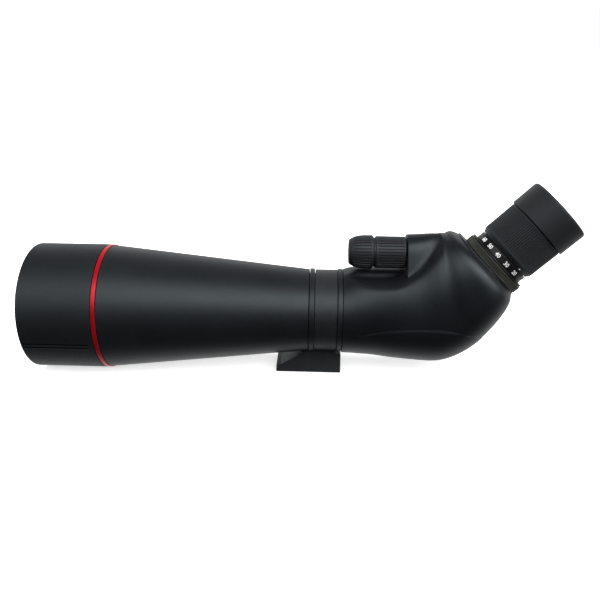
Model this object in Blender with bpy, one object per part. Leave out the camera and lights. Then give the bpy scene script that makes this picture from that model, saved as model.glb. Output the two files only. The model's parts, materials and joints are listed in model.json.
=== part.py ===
# Spotting scope, 80 mm class, angled eyepiece, with sliding hood, tripod collar,
# dual focus knobs and zoom eyepiece.
# Frame: origin on the underside of the collar's foot, below the collar's centre plane.
# +X runs from the objective towards the eye end, +Z up. All constants are in millimetres;
# the finished meshes are in metres.
import bpy
import bmesh
import math
from mathutils import Vector, Matrix

for old in list(bpy.data.objects):
    bpy.data.objects.remove(old, do_unlink=True)

MM = 0.001
GAP = 0.3                    # clearance between neighbouring pieces

# ---------------------------------------------------------------- driving dimensions
AXIS_Z = 46.0                # optical axis above the foot's base
# hood and tube
HOOD_X0, HOOD_X1, HOOD_R, HOOD_BORE = -217.3, -164.7, 47.0, 45.0
SPIGOT_R, SPIGOT_X0 = 44.4, -206.0
RING_X0, RING_X1, RING_R = -164.3, -161.2, 46.9
TUBE_X0, TUBE_R0 = RING_X1 + GAP, 46.3
TUBE_X1, TUBE_R1 = -12.5, 31.0
NECK_R, NECK_X1, NECK_BORE = 28.2, 18.0, 26.2
BORE_FRONT, BORE_REAR = (-150.0, 42.0), (-18.0, NECK_BORE)    # (x, radius) of the tapered bore
# collar and its flanges
COLLAR_X, COLLAR_R, COLLAR_BORE = 8.2, 30.9, 29.2             # COLLAR_X is half its length
FLANGE_R = 31.6
FLANGE_NEAR, FLANGE_FAR = COLLAR_X + GAP, 12.1                # distances from the centre plane
FOOT_X0, FOOT_X1, FOOT_HALF = -36.9, 12.3, 15.0
FOOT_SPLAY = 0.22            # how much narrower each side gets for each millimetre of height
FOOT_TOE = 5.2               # thickness of the foot's front edge
THREAD_X, TWIST_X = -12.7, -27.0
# housing
HOUSE_X0 = 12.6
MOUTH_R = 29.0               # front opening, round the neck
PIVOT_X, PIVOT_RISE = 80.0, 75.5    # the elbow's sections fan about this line; rise from the axis
SEAT_RHO = 54.2              # pivot to the seat's centre
SEAT_BORE = 19.2
WALL, MIN_WALL = 2.5, 2.2
# focus
KNOB_RISE = 47.3             # knob axis above the optical axis
KNOB_Z = AXIS_Z + KNOB_RISE
POD_X, POD_R = 57.2, 13.5
FINE_X0, FINE_X1, FINE_R = 15.6, 33.1, 12.3
COARSE_X0, COARSE_X1, COARSE_R = 34.9, 56.4, 11.8
SCREW_X1 = 85.0
RAIL_Y = 20.0
# eyepiece, distances d along its axis from where it meets the optical axis
ELBOW_X, EYE_ANGLE = 81.15, 45.0
SEAT_D = 53.7
SEAT_NECK = 1.1              # the straight neck between the last section and the seat
LOCK_D, LOCK_R = (SEAT_D + GAP, 59.6), 25.6
SCALE_D, SCALE_R = (61.4, 66.9), 22.1
ZOOM_D, ZOOM_R = (SCALE_D[1] + GAP, 94.9), 23.7
CUP_D, CUP_R = (95.3, 116.1), 24.9
# prism
PRISM_W, PRISM_L, PRISM_H = 22.0, 13.0, 26.0

# facets round a turned piece
BIG, MID, SMALL, TINY = 32, 24, 16, 12
LENS_STEPS = 3               # profile segments from a lens's centre to its rim
FACET_TURN = 0.11            # radians a straight cylinder's facets are turned about its axis


# ---------------------------------------------------------------- materials
LOOKS = {    # linear base colour, roughness, metallic, alpha
    "tube_paint": ((0.022, 0.023, 0.026), 0.46, 0.0, 1.0),
    "hood_paint": ((0.020, 0.021, 0.023), 0.50, 0.0, 1.0),
    "armour": ((0.020, 0.021, 0.024), 0.48, 0.0, 1.0),
    "collar_cast": ((0.024, 0.025, 0.027), 0.55, 0.0, 1.0),
    "red_anodised": ((0.62, 0.012, 0.025), 0.32, 0.6, 1.0),
    "black_anodised": ((0.018, 0.018, 0.019), 0.40, 0.4, 1.0),
    "knurl_black": ((0.022, 0.024, 0.020), 0.45, 0.3, 1.0),
    "rubber": ((0.020, 0.020, 0.021), 0.62, 0.0, 1.0),
    "knob_plastic": ((0.021, 0.022, 0.024), 0.42, 0.0, 1.0),
    "matt_black": ((0.010, 0.010, 0.010), 0.90, 0.0, 1.0),
    "felt": ((0.015, 0.015, 0.015), 0.95, 0.0, 1.0),
    "polymer": ((0.05, 0.05, 0.05), 0.5, 0.0, 1.0),
    "steel": ((0.55, 0.55, 0.56), 0.30, 1.0, 1.0),
    "brass": ((0.62, 0.47, 0.22), 0.32, 1.0, 1.0),
    "coated_glass": ((0.45, 0.62, 0.55), 0.04, 0.0, 0.4),
}


def material(name, look):
    colour, roughness, metallic, alpha = LOOKS[look]
    mat = bpy.data.materials.new(name)
    mat.use_nodes = True
    inputs = mat.node_tree.nodes["Principled BSDF"].inputs
    inputs["Base Color"].default_value = (*colour, 1.0)
    inputs["Roughness"].default_value = roughness
    inputs["Metallic"].default_value = metallic
    inputs["Alpha"].default_value = alpha
    return mat


# ---------------------------------------------------------------- mesh helpers
def finish(name, mesh, look, parent=None, sharp=35.0):
    """Turns a bmesh in millimetres into a named object of its own material, in metres."""
    bmesh.ops.scale(mesh, vec=(MM, MM, MM), verts=mesh.verts)
    bmesh.ops.remove_doubles(mesh, verts=mesh.verts, dist=2e-6)
    bmesh.ops.recalc_face_normals(mesh, faces=mesh.faces)
    data = bpy.data.meshes.new(name)
    mesh.to_mesh(data)
    mesh.free()
    data.shade_smooth()
    data.set_sharp_from_angle(angle=math.radians(sharp))
    data.materials.append(material(name + "_mat", look))
    piece = bpy.data.objects.new(name, data)
    bpy.context.collection.objects.link(piece)
    if parent is not None:
        piece.parent = parent
    return piece


def turned(profile, steps):
    """Turns (t, radius) points about local Z, t along it. A profile off the axis is closed."""
    mesh = bmesh.new()
    verts = [mesh.verts.new((radius, 0.0, t)) for t, radius in profile]
    edges = [mesh.edges.new(pair) for pair in zip(verts, verts[1:])]
    if profile[0][1] > 0:
        edges.append(mesh.edges.new((verts[-1], verts[0])))
    bmesh.ops.spin(mesh, geom=verts + edges, cent=(0, 0, 0), axis=(0, 0, 1),
                   angle=2 * math.pi, steps=steps, use_merge=False)
    bmesh.ops.remove_doubles(mesh, verts=mesh.verts, dist=0.002)
    return mesh


def lathe(name, profile, look, parent, steps=MID):
    return finish(name, turned(profile, steps), look, parent)


def tube(t0, t1, r_in, r_out, bevel=0.0):
    """Profile of a plain ring, or of a rod if r_in is 0; bevel chamfers its outer edges."""
    if bevel:
        return [(t0, r_in), (t0, r_out - bevel), (t0 + bevel, r_out),
                (t1 - bevel, r_out), (t1, r_out - bevel), (t1, r_in)]
    return [(t0, r_in), (t0, r_out), (t1, r_out), (t1, r_in)]


def sag(curvature_r, radius):
    depth = abs(curvature_r) - math.sqrt(curvature_r * curvature_r - radius * radius)
    return math.copysign(depth, curvature_r)


def lens(name, vertices, curvatures, radius, parent, steps=MID):
    """A lens between two vertices; a positive curvature radius has its centre towards +t."""
    front, back = [[(t + sag(curve_r, radius * k / LENS_STEPS), radius * k / LENS_STEPS)
                    for k in range(LENS_STEPS + 1)]
                   for t, curve_r in zip(vertices, curvatures)]
    lathe(name, front + back[::-1], "coated_glass", parent, steps)


def extruded(points, offset):
    """The polygon of 3D points drawn out along offset."""
    mesh = bmesh.new()
    face = mesh.faces.new([mesh.verts.new(point) for point in points])
    drawn = bmesh.ops.extrude_face_region(mesh, geom=[face])["geom"]
    bmesh.ops.translate(mesh, vec=offset,
                        verts=[item for item in drawn if isinstance(item, bmesh.types.BMVert)])
    return mesh


def box(low, high):
    mesh = bmesh.new()
    size = [end - start for start, end in zip(low, high)]
    centre = [(start + end) / 2 for start, end in zip(low, high)]
    bmesh.ops.create_cube(mesh, size=1.0,
                          matrix=Matrix.Translation(centre) @ Matrix.Diagonal((*size, 1.0)))
    return mesh


def cylinder(start, end, radius, steps=SMALL):
    start, end = Vector(start), Vector(end)
    turn = (end - start).to_track_quat("Z", "Y").to_matrix().to_4x4()
    place = Matrix.Translation((start + end) / 2) @ turn @ Matrix.Rotation(FACET_TURN, 4, "Z")
    mesh = bmesh.new()
    bmesh.ops.create_cone(mesh, cap_ends=True, segments=steps, radius1=radius, radius2=radius,
                          depth=(end - start).length, matrix=place)
    return mesh


def bridge(mesh, rings):
    """Faces between each ring of vertices and the next."""
    for near, far in zip(rings, rings[1:]):
        for k in range(len(near)):
            after = (k + 1) % len(near)
            mesh.faces.new((near[k], near[after], far[after], far[k]))


def combine(target, operation, name, mesh, parent=None, solver="EXACT"):
    """Adds a Boolean modifier to target, worked by a hidden helper made from mesh."""
    helper = finish(name, mesh, "polymer", parent)
    helper.hide_render = True
    helper.display_type = "WIRE"
    modifier = target.modifiers.new(operation.lower() + "_" + name, "BOOLEAN")
    modifier.operation = operation
    modifier.object = helper
    modifier.solver = solver


def empty(name, place, turn=(0, 0, 0)):
    frame = bpy.data.objects.new(name, None)
    bpy.context.collection.objects.link(frame)
    frame.location = [c * MM for c in place]
    frame.rotation_euler = [math.radians(angle) for angle in turn]
    return frame


# ---------------------------------------------------------------- blending and curves
def smoothstep(start, end, x):
    t = min(1.0, max(0.0, (x - start) / (end - start)))
    return t * t * (3 - 2 * t)


def smooth_max(first, second, fillet):
    """Maximum with a fillet."""
    blend = max(fillet - abs(first - second), 0.0) / fillet
    return max(first, second) + blend * blend * fillet * 0.25


def smooth_min(first, second, fillet):
    return -smooth_max(-first, -second, fillet)


def on_line(start, end, x):
    """Value at x of the straight line through two (x, value) points."""
    return start[1] + (end[1] - start[1]) * (x - start[0]) / (end[0] - start[0])


def curve(points, x):
    """Monotone cubic through the (x, value) points, held level beyond their ends."""
    xs, ys = zip(*points)
    x = min(xs[-1], max(xs[0], x))
    spans = [end - start for start, end in zip(xs, xs[1:])]
    slopes = [(end - start) / span for start, end, span in zip(ys, ys[1:], spans)]
    tangents = [slopes[0]]
    for before, after in zip(slopes, slopes[1:]):
        turns = before * after <= 0
        tangents.append(0.0 if turns else 2.0 * before * after / (before + after))
    tangents.append(slopes[-1])
    i = max(j for j in range(len(spans)) if x >= xs[j])
    t = (x - xs[i]) / spans[i]
    return (ys[i] * (1 + 2 * t) * (1 - t) ** 2 + spans[i] * tangents[i] * t * (1 - t) ** 2
            + ys[i + 1] * t * t * (3 - 2 * t) + spans[i] * tangents[i + 1] * t * t * (t - 1))


# ---------------------------------------------------------------- frames of the moving bodies
ALONG_X = (0, 90, 0)         # local Z along +X
ALONG_Y = (-90, 0, 0)        # local Z along +Y
base = empty("collar_axis", (0, 0, AXIS_Z), ALONG_X)    # the barrel turns in the collar on this
barrel = empty("barrel_axis", (0, 0, AXIS_Z), ALONG_X)
hood_axis = empty("hood_axis", (0, 0, AXIS_Z), ALONG_X)
knob_axis = empty("knob_axis", (0, 0, KNOB_Z), ALONG_X)
fine_axis = empty("fine_axis", (0, 0, KNOB_Z), ALONG_X)
carriage = empty("carriage_axis", (0, 0, AXIS_Z), ALONG_X)
eye = empty("eyepiece_axis", (ELBOW_X, 0, AXIS_Z), (0, 90 - EYE_ANGLE, 0))
lock_axis = empty("lock_axis", (0, 0, AXIS_Z), ALONG_Y)


# ---------------------------------------------------------------- tube and hood
TUBE_EDGE = 0.3              # chamfer at both ends of the taper
FELT_X0, FELT_X1, FELT_R = -182.0, -174.0, 45.7
FELT_GROOVE_R = 46.0
HOOD_LIP, HOOD_FRONT_EDGE, HOOD_REAR_EDGE = 0.4, 0.6, 0.3    # chamfers

lathe("main_tube", [
    (SPIGOT_X0, BORE_FRONT[1]), (SPIGOT_X0, SPIGOT_R), (TUBE_X0, SPIGOT_R),
    (TUBE_X0, TUBE_R0 - TUBE_EDGE), (TUBE_X0 + TUBE_EDGE, TUBE_R0),
    (TUBE_X1 - TUBE_EDGE, TUBE_R1), (TUBE_X1, TUBE_R1 - TUBE_EDGE), (TUBE_X1, NECK_R),
    (NECK_X1, NECK_R), (NECK_X1, NECK_BORE), BORE_REAR, BORE_FRONT,
], "tube_paint", barrel, BIG)
lathe("accent_ring", tube(RING_X0, RING_X1, SPIGOT_R + GAP, RING_R, bevel=0.35),
      "red_anodised", barrel, BIG)
lathe("hood", [
    (HOOD_X0, HOOD_BORE + HOOD_LIP), (HOOD_X0 + HOOD_LIP, HOOD_BORE),
    (FELT_X0 - GAP, HOOD_BORE), (FELT_X0 - GAP, FELT_GROOVE_R),
    (FELT_X1 + GAP, FELT_GROOVE_R), (FELT_X1 + GAP, HOOD_BORE),
    (HOOD_X1, HOOD_BORE), (HOOD_X1, HOOD_R - HOOD_REAR_EDGE), (HOOD_X1 - HOOD_REAR_EDGE, HOOD_R),
    (HOOD_X0 + HOOD_FRONT_EDGE, HOOD_R), (HOOD_X0, HOOD_R - HOOD_FRONT_EDGE),
], "hood_paint", hood_axis, BIG)
lathe("hood_felt", tube(FELT_X0, FELT_X1, SPIGOT_R + GAP, FELT_R), "felt", hood_axis, BIG)

# ---------------------------------------------------------------- objective and baffles
CELL_X0, CELL_X1, CELL_R = -202.0, -180.0, 41.7
CELL_BORE, CELL_LIP_R = 40.1, 37.5
OBJECTIVE_R = 39.7
BAFFLE_T = 1.2

lathe("objective_cell", [
    (CELL_X0, CELL_BORE), (CELL_X0, CELL_R), (CELL_X1, CELL_R), (CELL_X1, CELL_LIP_R),
    (-182.8, CELL_LIP_R), (-183.6, CELL_BORE)], "matt_black", barrel)
lens("crown_lens", (-199.0, -189.4), (240.0, -240.0), OBJECTIVE_R, barrel)
lathe("lens_spacer", tube(-192.0, -191.2, CELL_LIP_R, OBJECTIVE_R), "steel", barrel)
lens("flint_lens", (-188.0, -184.3), (-290.0, -900.0), OBJECTIVE_R, barrel)
lathe("lens_retaining_ring", tube(-199.4, -196.4, 37.6, 39.8), "black_anodised", barrel)

for label, x, hole_r in (("baffle_front", -120.0, 31.0), ("baffle_rear", -60.0, 24.0)):
    rim_r = on_line(BORE_FRONT, BORE_REAR, x + BAFFLE_T) - GAP
    lathe(label, tube(x, x + BAFFLE_T, hole_r, rim_r), "matt_black", barrel)

# ---------------------------------------------------------------- collar
LINER_X = 7.4                # half its length
FOOT_EDGE = 0.6
WEB_X, WEB_TOP = COLLAR_X - 0.2, 30.0    # the web's top ends inside the ring
RELIEF_X0, RELIEF_X1, RELIEF_R = -60.0, 20.0, 34.0
TUBE_RELIEF = 1.0            # clearance round the tapered tube
BORE_X = COLLAR_X + 0.12     # half-length of the narrow bore, just past the ring

for label, t0, t1 in (("collar_front_flange", -FLANGE_FAR, -FLANGE_NEAR),
                      ("collar_rear_flange", FLANGE_NEAR, FLANGE_FAR)):
    lathe(label, tube(t0, t1, NECK_R + GAP, FLANGE_R, bevel=0.3), "black_anodised", barrel, BIG)
lathe("collar_liner", tube(-LINER_X, LINER_X, NECK_R + GAP, COLLAR_BORE - GAP),
      "polymer", base, BIG)


def tripod_collar():
    """Foot and web, joined to the ring and the lock's boss, then bored."""
    outline = [    # (x, z)
        (FOOT_X0 + FOOT_EDGE, 0.0), (FOOT_X1 - FOOT_EDGE, 0.0), (FOOT_X1, FOOT_EDGE),
        (FOOT_X1, 13.5), (WEB_X, 13.9), (WEB_X, WEB_TOP), (-WEB_X, WEB_TOP),
        (-0.1 - COLLAR_X, 19.4), (FOOT_X0 + 3.0, FOOT_TOE), (FOOT_X0 + FOOT_EDGE, FOOT_TOE),
        (FOOT_X0, FOOT_TOE - FOOT_EDGE), (FOOT_X0, FOOT_EDGE)]
    mesh = extruded([(x, -FOOT_HALF, z) for x, z in outline], (0, 2 * FOOT_HALF, 0))
    for vert in mesh.verts:
        vert.co.y = math.copysign(FOOT_HALF - FOOT_SPLAY * vert.co.z, vert.co.y)
    foot = finish("tripod_collar", mesh, "collar_cast", sharp=30.0)

    # the bore, room for the flanges, and the relief that follows the tapered tube
    relief_start_r = on_line((TUBE_X0, TUBE_R0), (TUBE_X1, TUBE_R1), RELIEF_X0) + TUBE_RELIEF
    relief = [
        (RELIEF_X0, 0.0), (RELIEF_X0, relief_start_r), (-FLANGE_FAR - 0.5, TUBE_R1 + TUBE_RELIEF),
        (-BORE_X, TUBE_R1 + TUBE_RELIEF), (-BORE_X, COLLAR_BORE), (BORE_X, COLLAR_BORE),
        (BORE_X, RELIEF_R), (RELIEF_X1, RELIEF_R), (RELIEF_X1, 0.0)]
    ring = tube(-COLLAR_X, COLLAR_X, 0, COLLAR_R, bevel=0.3)
    for operation, name, form, parent in (
            ("UNION", "collar_ring_form", turned(ring, BIG), base),
            ("UNION", "lock_boss_form",
             cylinder((0, 27.0, AXIS_Z), (0, 34.5, AXIS_Z), 6.8), None),
            ("DIFFERENCE", "collar_bore_cut", turned(relief, BIG), base),
            ("DIFFERENCE", "insert_hole",
             cylinder((THREAD_X, 0, -1), (THREAD_X, 0, 9.0), 5.0), None),
            ("DIFFERENCE", "twist_hole",
             cylinder((TWIST_X, 0, -1), (TWIST_X, 0, 5.0), 2.2, TINY), None),
            ("DIFFERENCE", "lock_hole",
             cylinder((0, 25.0, AXIS_Z), (0, 40.0, AXIS_Z), 3.0), None)):
        # the exact solver leaves a few open edges where the boss meets the ring
        combine(foot, operation, name, form, parent, solver="MANIFOLD")


tripod_collar()
lathe("tripod_insert", tube(0.4, 8.6, 3.2, 4.7, bevel=0.3), "steel",
      empty("insert_axis", (THREAD_X, 0, 0)), SMALL)

# collar lock, on the +Y side
LOBES, LOBE_FACETS = 6, 5
LOBE_MEAN_R, LOBE_DEPTH = 8.6, 0.9
LOCK_KNOB = ((35.0, -1.2), (36.2, 0.0), (46.6, 0.0), (48.0, -1.6))    # (y, radius change)
LOCK_SCREW_R, LOCK_SCREW_Y1 = 2.6, 44.6
LOCK_BORE_R, LOCK_BORE_Y1 = 2.9, 45.0


def collar_lock_knob():
    """Six lobes round a plain blind bore."""
    mesh = bmesh.new()
    turns = [2 * math.pi * k / (LOBES * LOBE_FACETS) for k in range(LOBES * LOBE_FACETS)]

    def ring(t, radius, depth):
        verts = []
        for a in turns:
            lobed = radius + depth * math.cos(LOBES * a)
            verts.append(mesh.verts.new((lobed * math.cos(a), lobed * math.sin(a), t)))
        return verts

    outside = [ring(t, LOBE_MEAN_R + change, LOBE_DEPTH) for t, change in LOCK_KNOB]
    bore = [ring(t, LOCK_BORE_R, 0.0) for t in (LOCK_BORE_Y1, LOCK_KNOB[0][0])]
    bridge(mesh, bore + outside)
    mesh.faces.new(outside[-1])
    mesh.faces.new(bore[0][::-1])
    finish("collar_lock_knob", mesh, "knob_plastic", lock_axis)


collar_lock_knob()
lathe("lock_screw", [(29.5, 0), (29.5, 1.8), (30.3, LOCK_SCREW_R),
                     (LOCK_SCREW_Y1, LOCK_SCREW_R), (LOCK_SCREW_Y1, 0)],
      "steel", lock_axis, SMALL)

# ---------------------------------------------------------------- rear housing
# Stations s run along the housing: up to 0 they are millimetres in x from the elbow's pivot
# plane, beyond it they are degrees of the fan. Each table holds (station, size) points.
# radius below and beside the centre line
BELLY = (
    (-67.4, 32.0), (-50.0, 32.3), (-30.0, 34.4), (-12.0, 35.8), (0.0, 36.3), (12.0, 35.4),
    (24.0, 34.1), (34.0, 32.6), (41.0, 30.0), (45.0, 25.4))
# radius above the centre line
ROOF = (
    (-67.4, 31.6), (-52.0, 37.0), (-42.0, 40.2), (-32.0, 43.8), (-22.0, 46.8), (-17.0, 48.8),
    (-12.0, 51.6), (-7.0, 56.2), (-2.0, 60.7), (0.0, 61.7), (2.0, 62.0), (12.0, 57.7),
    (22.0, 50.2), (31.0, 43.9), (37.0, 39.6), (42.0, 35.8), (45.0, 33.0))
# the inner wall's radius above the centre line, before WALL is taken off
CAVITY = (
    (-67.4, 31.2), (-50.0, 32.6), (-34.0, 33.6), (-23.0, 34.6), (-17.5, 38.4), (-12.0, 45.0),
    (-4.0, 56.0), (2.0, 61.6), (12.0, 58.2), (22.0, 51.0), (31.0, 44.2), (37.0, 38.6),
    (42.0, 31.5), (45.0, 25.4))
# height of the ledge the knobs and the pod stand on
LEDGE = (
    (-67.4, 31.6), (-52.0, 31.2), (-40.0, 30.8), (-32.0, 31.4), (-27.0, 33.0), (-22.0, 35.8),
    (-17.0, 39.2), (-12.0, 43.4), (-7.0, 49.0), (-2.0, 56.0), (3.0, 64.0), (12.0, 84.0))
# the pod's half-width and the height of its top
POD_HALF = ((-22.8, 13.5), (-17.0, 13.0), (-12.0, 12.0), (-7.0, 10.4), (-2.0, 8.2), (4.0, 5.4),
            (12.0, 2.5))
POD_TOP = ((-22.8, 60.8), (-12.0, 61.5), (-4.0, 62.3), (0.0, 62.2), (6.0, 59.0), (12.0, 50.0))
FLARE = math.radians(20.0)           # lean of the pod's sides
POD_MAX_THETA = 1.2                  # the pod stays within this angle of straight up, radians
PLATEAU_R, PLATEAU_THETA, PLATEAU_FALL = 34.4, 13.0, 0.5    # level to theta, then mm a degree
POD_CAVITY_TAPER, POD_CAVITY_FALL = 1.5, 3.2                # mm in all; mm a degree

HEAD = HOUSE_X0 - PIVOT_X
POD_FACE = POD_X - PIVOT_X
POD_CAVITY_FACE = POD_FACE + WALL + 0.3
FACE_STEP = 0.02                     # a face's two stations lie this far either side of it
OUTER_STATIONS = [
    HEAD, -62.0, -56.0, -50.0, -44.0, -38.0, -32.0, -27.0, POD_FACE - FACE_STEP,
    POD_FACE + FACE_STEP, -18.0, -14.0, -10.0, -6.5, -3.0, 0.0, 3.5, 8.0, 14.0, 21.0, 28.0,
    34.0, 39.0, 42.5, 45.0]
INNER_STATIONS = [
    HEAD, -50.0, -28.0, POD_CAVITY_FACE - FACE_STEP, POD_CAVITY_FACE + FACE_STEP, -10.0, -4.0,
    2.0, 12.0, 24.0, 34.0, 40.5]
# angles from straight up, first down the -Y side and then back up the +Y side
HALF_TURN = [math.radians(a) for a in (
    0, 5, 10, 15, 20, 25, 31, 38, 46, 55, 66, 80, 96, 112, 129, 146, 163, 180)]
ANGLES = HALF_TURN + [2 * math.pi - a for a in reversed(HALF_TURN[1:-1])]


def oval(side, up, theta):
    return 1.0 / math.sqrt((math.sin(theta) / side) ** 2 + (math.cos(theta) / up) ** 2)


def round_top(centre, radius, theta):
    """Distance at theta to the far side of a circle centred straight up."""
    across = centre * math.sin(theta)
    return centre * math.cos(theta) + math.sqrt(max(0.0, radius * radius - across ** 2))


def inner_radius(s, theta):
    """Radius of the cavity at station s, in direction theta from straight up."""
    side = curve(BELLY, s) - WALL
    up = curve(CAVITY, s) - WALL if math.cos(theta) > 0 else side
    radius = oval(side, up, theta)
    if POD_CAVITY_FACE - 1e-6 <= s < 0.0:
        pod_r = POD_R - POD_CAVITY_TAPER * smoothstep(-14.0, 0.0, s) - WALL
        tangent = math.asin(pod_r / KNOB_RISE)
        if theta < tangent:
            pod = round_top(KNOB_RISE, pod_r, theta)
        else:
            pod = (math.sqrt(KNOB_RISE ** 2 - pod_r ** 2)
                   - POD_CAVITY_FALL * math.degrees(theta - tangent))
        radius = smooth_max(radius, pod, fillet=3.0 * smoothstep(0.0, -3.0, s) + 0.01)
    return radius


def outer_radius(s, theta):
    """Radius of the housing's outside at station s, in direction theta from straight up."""
    side = curve(BELLY, s)
    up = curve(ROOF, s) if math.cos(theta) > 0 else side
    radius = oval(side, up, theta)
    degrees = math.degrees(theta)
    if s > 4.0:
        # towards the seat the upper half fills out round the eyepiece's lock ring
        shoulder = side + (up - side) * (1.0 - smoothstep(12.0, 90.0, degrees))
        share = 0.55 * smoothstep(4.0, 26.0, s) + 0.45 * smoothstep(24.0, 45.0, s)
        radius += share * (shoulder - radius)
    if math.cos(theta) > 0.05 and s < 12.0:
        radius = smooth_min(radius, curve(LEDGE, s) / math.cos(theta),
                            fillet=1.0 + 6.5 * smoothstep(-64.0, -48.0, s))
    if s < POD_FACE - 1e-6:
        # a raised strip along the top, growing towards the pod's face
        plateau = PLATEAU_R - PLATEAU_FALL * max(0.0, degrees - PLATEAU_THETA)
        rise = smoothstep(POD_FACE - 46.0, POD_FACE - 34.0, s)
        return radius + rise * (smooth_max(radius, plateau, fillet=2.6) - radius)
    if s < 12.0 and theta < POD_MAX_THETA:
        # the pod's round top, with straight sides tangent to it
        pod_r = curve(POD_HALF, s)
        centre = curve(POD_TOP, s) - pod_r
        turn = math.atan2(pod_r * math.cos(FLARE), centre + pod_r * math.sin(FLARE))
        if theta < turn:
            pod = round_top(centre, pod_r, theta)
        else:
            pod = (centre * math.sin(FLARE) + pod_r) / math.sin(theta + FLARE)
        radius = smooth_max(radius, pod, fillet=0.8 + 5.2 * smoothstep(-22.8, -9.0, s))
    return radius


def section(s, inner):
    """Points of one section of the housing."""
    points = []
    for a in ANGLES:
        theta = a if a <= math.pi else 2 * math.pi - a
        radius = outer_radius(s, theta)
        if inner:
            radius = min(inner_radius(s, theta), radius - MIN_WALL)
        y = (-1.0 if a <= math.pi else 1.0) * radius * math.sin(theta)
        up = radius * math.cos(theta)
        if s <= 0:
            points.append((PIVOT_X + s, y, AXIS_Z + up))
        else:
            from_pivot = PIVOT_RISE + (SEAT_RHO - PIVOT_RISE) * smoothstep(0.0, 45.0, s) - up
            fan = math.radians(s)
            points.append((PIVOT_X + from_pivot * math.sin(fan), y,
                           AXIS_Z + PIVOT_RISE - from_pivot * math.cos(fan)))
    return points


def mouth_ring(x):
    return [(x, -MOUTH_R * math.sin(a), AXIS_Z + MOUTH_R * math.cos(a)) for a in ANGLES]


EYE_COS, EYE_SIN = math.cos(math.radians(EYE_ANGLE)), math.sin(math.radians(EYE_ANGLE))


def eye_ring(d, radius):
    """Points round the eyepiece axis at distance d along it, from its upper side."""
    return [(ELBOW_X + d * EYE_COS - radius * math.cos(a) * EYE_SIN, -radius * math.sin(a),
             AXIS_Z + d * EYE_SIN + radius * math.cos(a) * EYE_COS) for a in ANGLES]


def x_cylinder(x0, x1, z, radius, y=0.0, steps=SMALL):
    return cylinder((x0, y, z), (x1, y, z), radius, steps)


def rear_housing():
    """One closed skin: seat port, outside, front mouth, then the cavity back to the port."""
    mesh = bmesh.new()

    def add(points):
        return [mesh.verts.new(point) for point in points]

    outer = [add(section(s, inner=False)) for s in OUTER_STATIONS]
    inner = [add(section(s, inner=True)) for s in INNER_STATIONS]
    # the front opening takes the tube's neck; the back one is a straight bore square to the seat
    throat_x = NECK_X1 + 1.0
    mouth, throat = add(mouth_ring(HOUSE_X0)), add(mouth_ring(throat_x))
    for vert in inner[0]:
        vert.co.x = throat_x + 0.01
    # the straight neck, a hair narrower at the seat than where it leaves the last section
    centre = Vector(eye_ring(SEAT_D - SEAT_NECK, 0.0)[0])
    lift = Vector((EYE_COS, 0, EYE_SIN)) * SEAT_NECK
    neck = add([centre + (vert.co - centre) * 0.988 + lift for vert in outer[-1]])
    port, port_in = add(eye_ring(SEAT_D, SEAT_BORE)), add(eye_ring(SEAT_D - 5.0, SEAT_BORE))
    bridge(mesh, [port_in, port, neck] + outer[::-1] + [mouth, throat] + inner + [port_in])
    housing = finish("rear_housing", mesh, "armour", sharp=28.0)
    combine(housing, "DIFFERENCE", "pod_bore", x_cylinder(POD_X - 3, POD_X + 5, KNOB_Z, 7.0))


rear_housing()

# ---------------------------------------------------------------- focus knobs and screw
COARSE_BORE, COARSE_BACK_BORE = 2.4, 4.2
COARSE_STEP_X, COARSE_STEP_R = COARSE_X0 - 1.45, 10.6    # the narrower front step
COARSE_BACK_X = POD_X + 5.6
KNOB_EDGE = 0.7

lathe("knob_bushing", tube(POD_X + 0.1, POD_X + 5.0, 4.5, 6.7), "brass", knob_axis, SMALL)
lathe("coarse_knob", [
    (COARSE_STEP_X, COARSE_BORE), (COARSE_STEP_X, COARSE_STEP_R), (COARSE_X0, COARSE_STEP_R),
    (COARSE_X0, COARSE_R - KNOB_EDGE), (COARSE_X0 + KNOB_EDGE, COARSE_R),
    (COARSE_X1 - KNOB_EDGE, COARSE_R), (COARSE_X1, COARSE_R - KNOB_EDGE),
    (COARSE_X1, COARSE_BACK_BORE), (COARSE_BACK_X, COARSE_BACK_BORE),
    (COARSE_BACK_X, COARSE_BORE)], "knob_plastic", knob_axis)
# a plain cylinder for the two-start thread of 1.6 mm pitch, 3.2 mm of travel a turn
lathe("lead_screw", tube(POD_X + 6.2, SCREW_X1, 2.4, 3.5, bevel=0.3), "steel", knob_axis, SMALL)
lathe("fine_knob", [
    (FINE_X0, 0.0), (FINE_X0, 8.8), (FINE_X0 + 1.5, 10.0), (FINE_X0 + 4.5, 11.3),
    (FINE_X0 + 8.5, 12.1), (FINE_X0 + 12.0, FINE_R), (FINE_X1 - KNOB_EDGE, FINE_R),
    (FINE_X1, FINE_R - KNOB_EDGE), (FINE_X1, 2.4), (FINE_X1 - 8.0, 2.4), (FINE_X1 - 8.0, 0.0),
], "knob_plastic", fine_axis)
lathe("fine_spindle", tube(FINE_X1 - 7.6, SCREW_X1 - 2.0, 0, 2.0), "steel", fine_axis, TINY)

# ---------------------------------------------------------------- focus carriage
NUT_X0, NUT_X1 = 69.5, 75.5
POST_X0, POST_X1 = NUT_X0 - 1.0, NUT_X1 + 1.0
ARM_HALF = 4.0
FRAME_X0, FRAME_X1, FRAME_R = 36.0, 45.2, 24.0
FRAME_LIP_X, FRAME_LIP_R, FRAME_BORE = 38.0, 14.2, 15.4


def cut_rails(target, prefix, x0, x1, radius):
    for side in (-1, 1):
        combine(target, "DIFFERENCE", f"{prefix}_{side}",
                x_cylinder(x0, x1, AXIS_Z, radius, y=side * RAIL_Y, steps=TINY))


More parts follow.
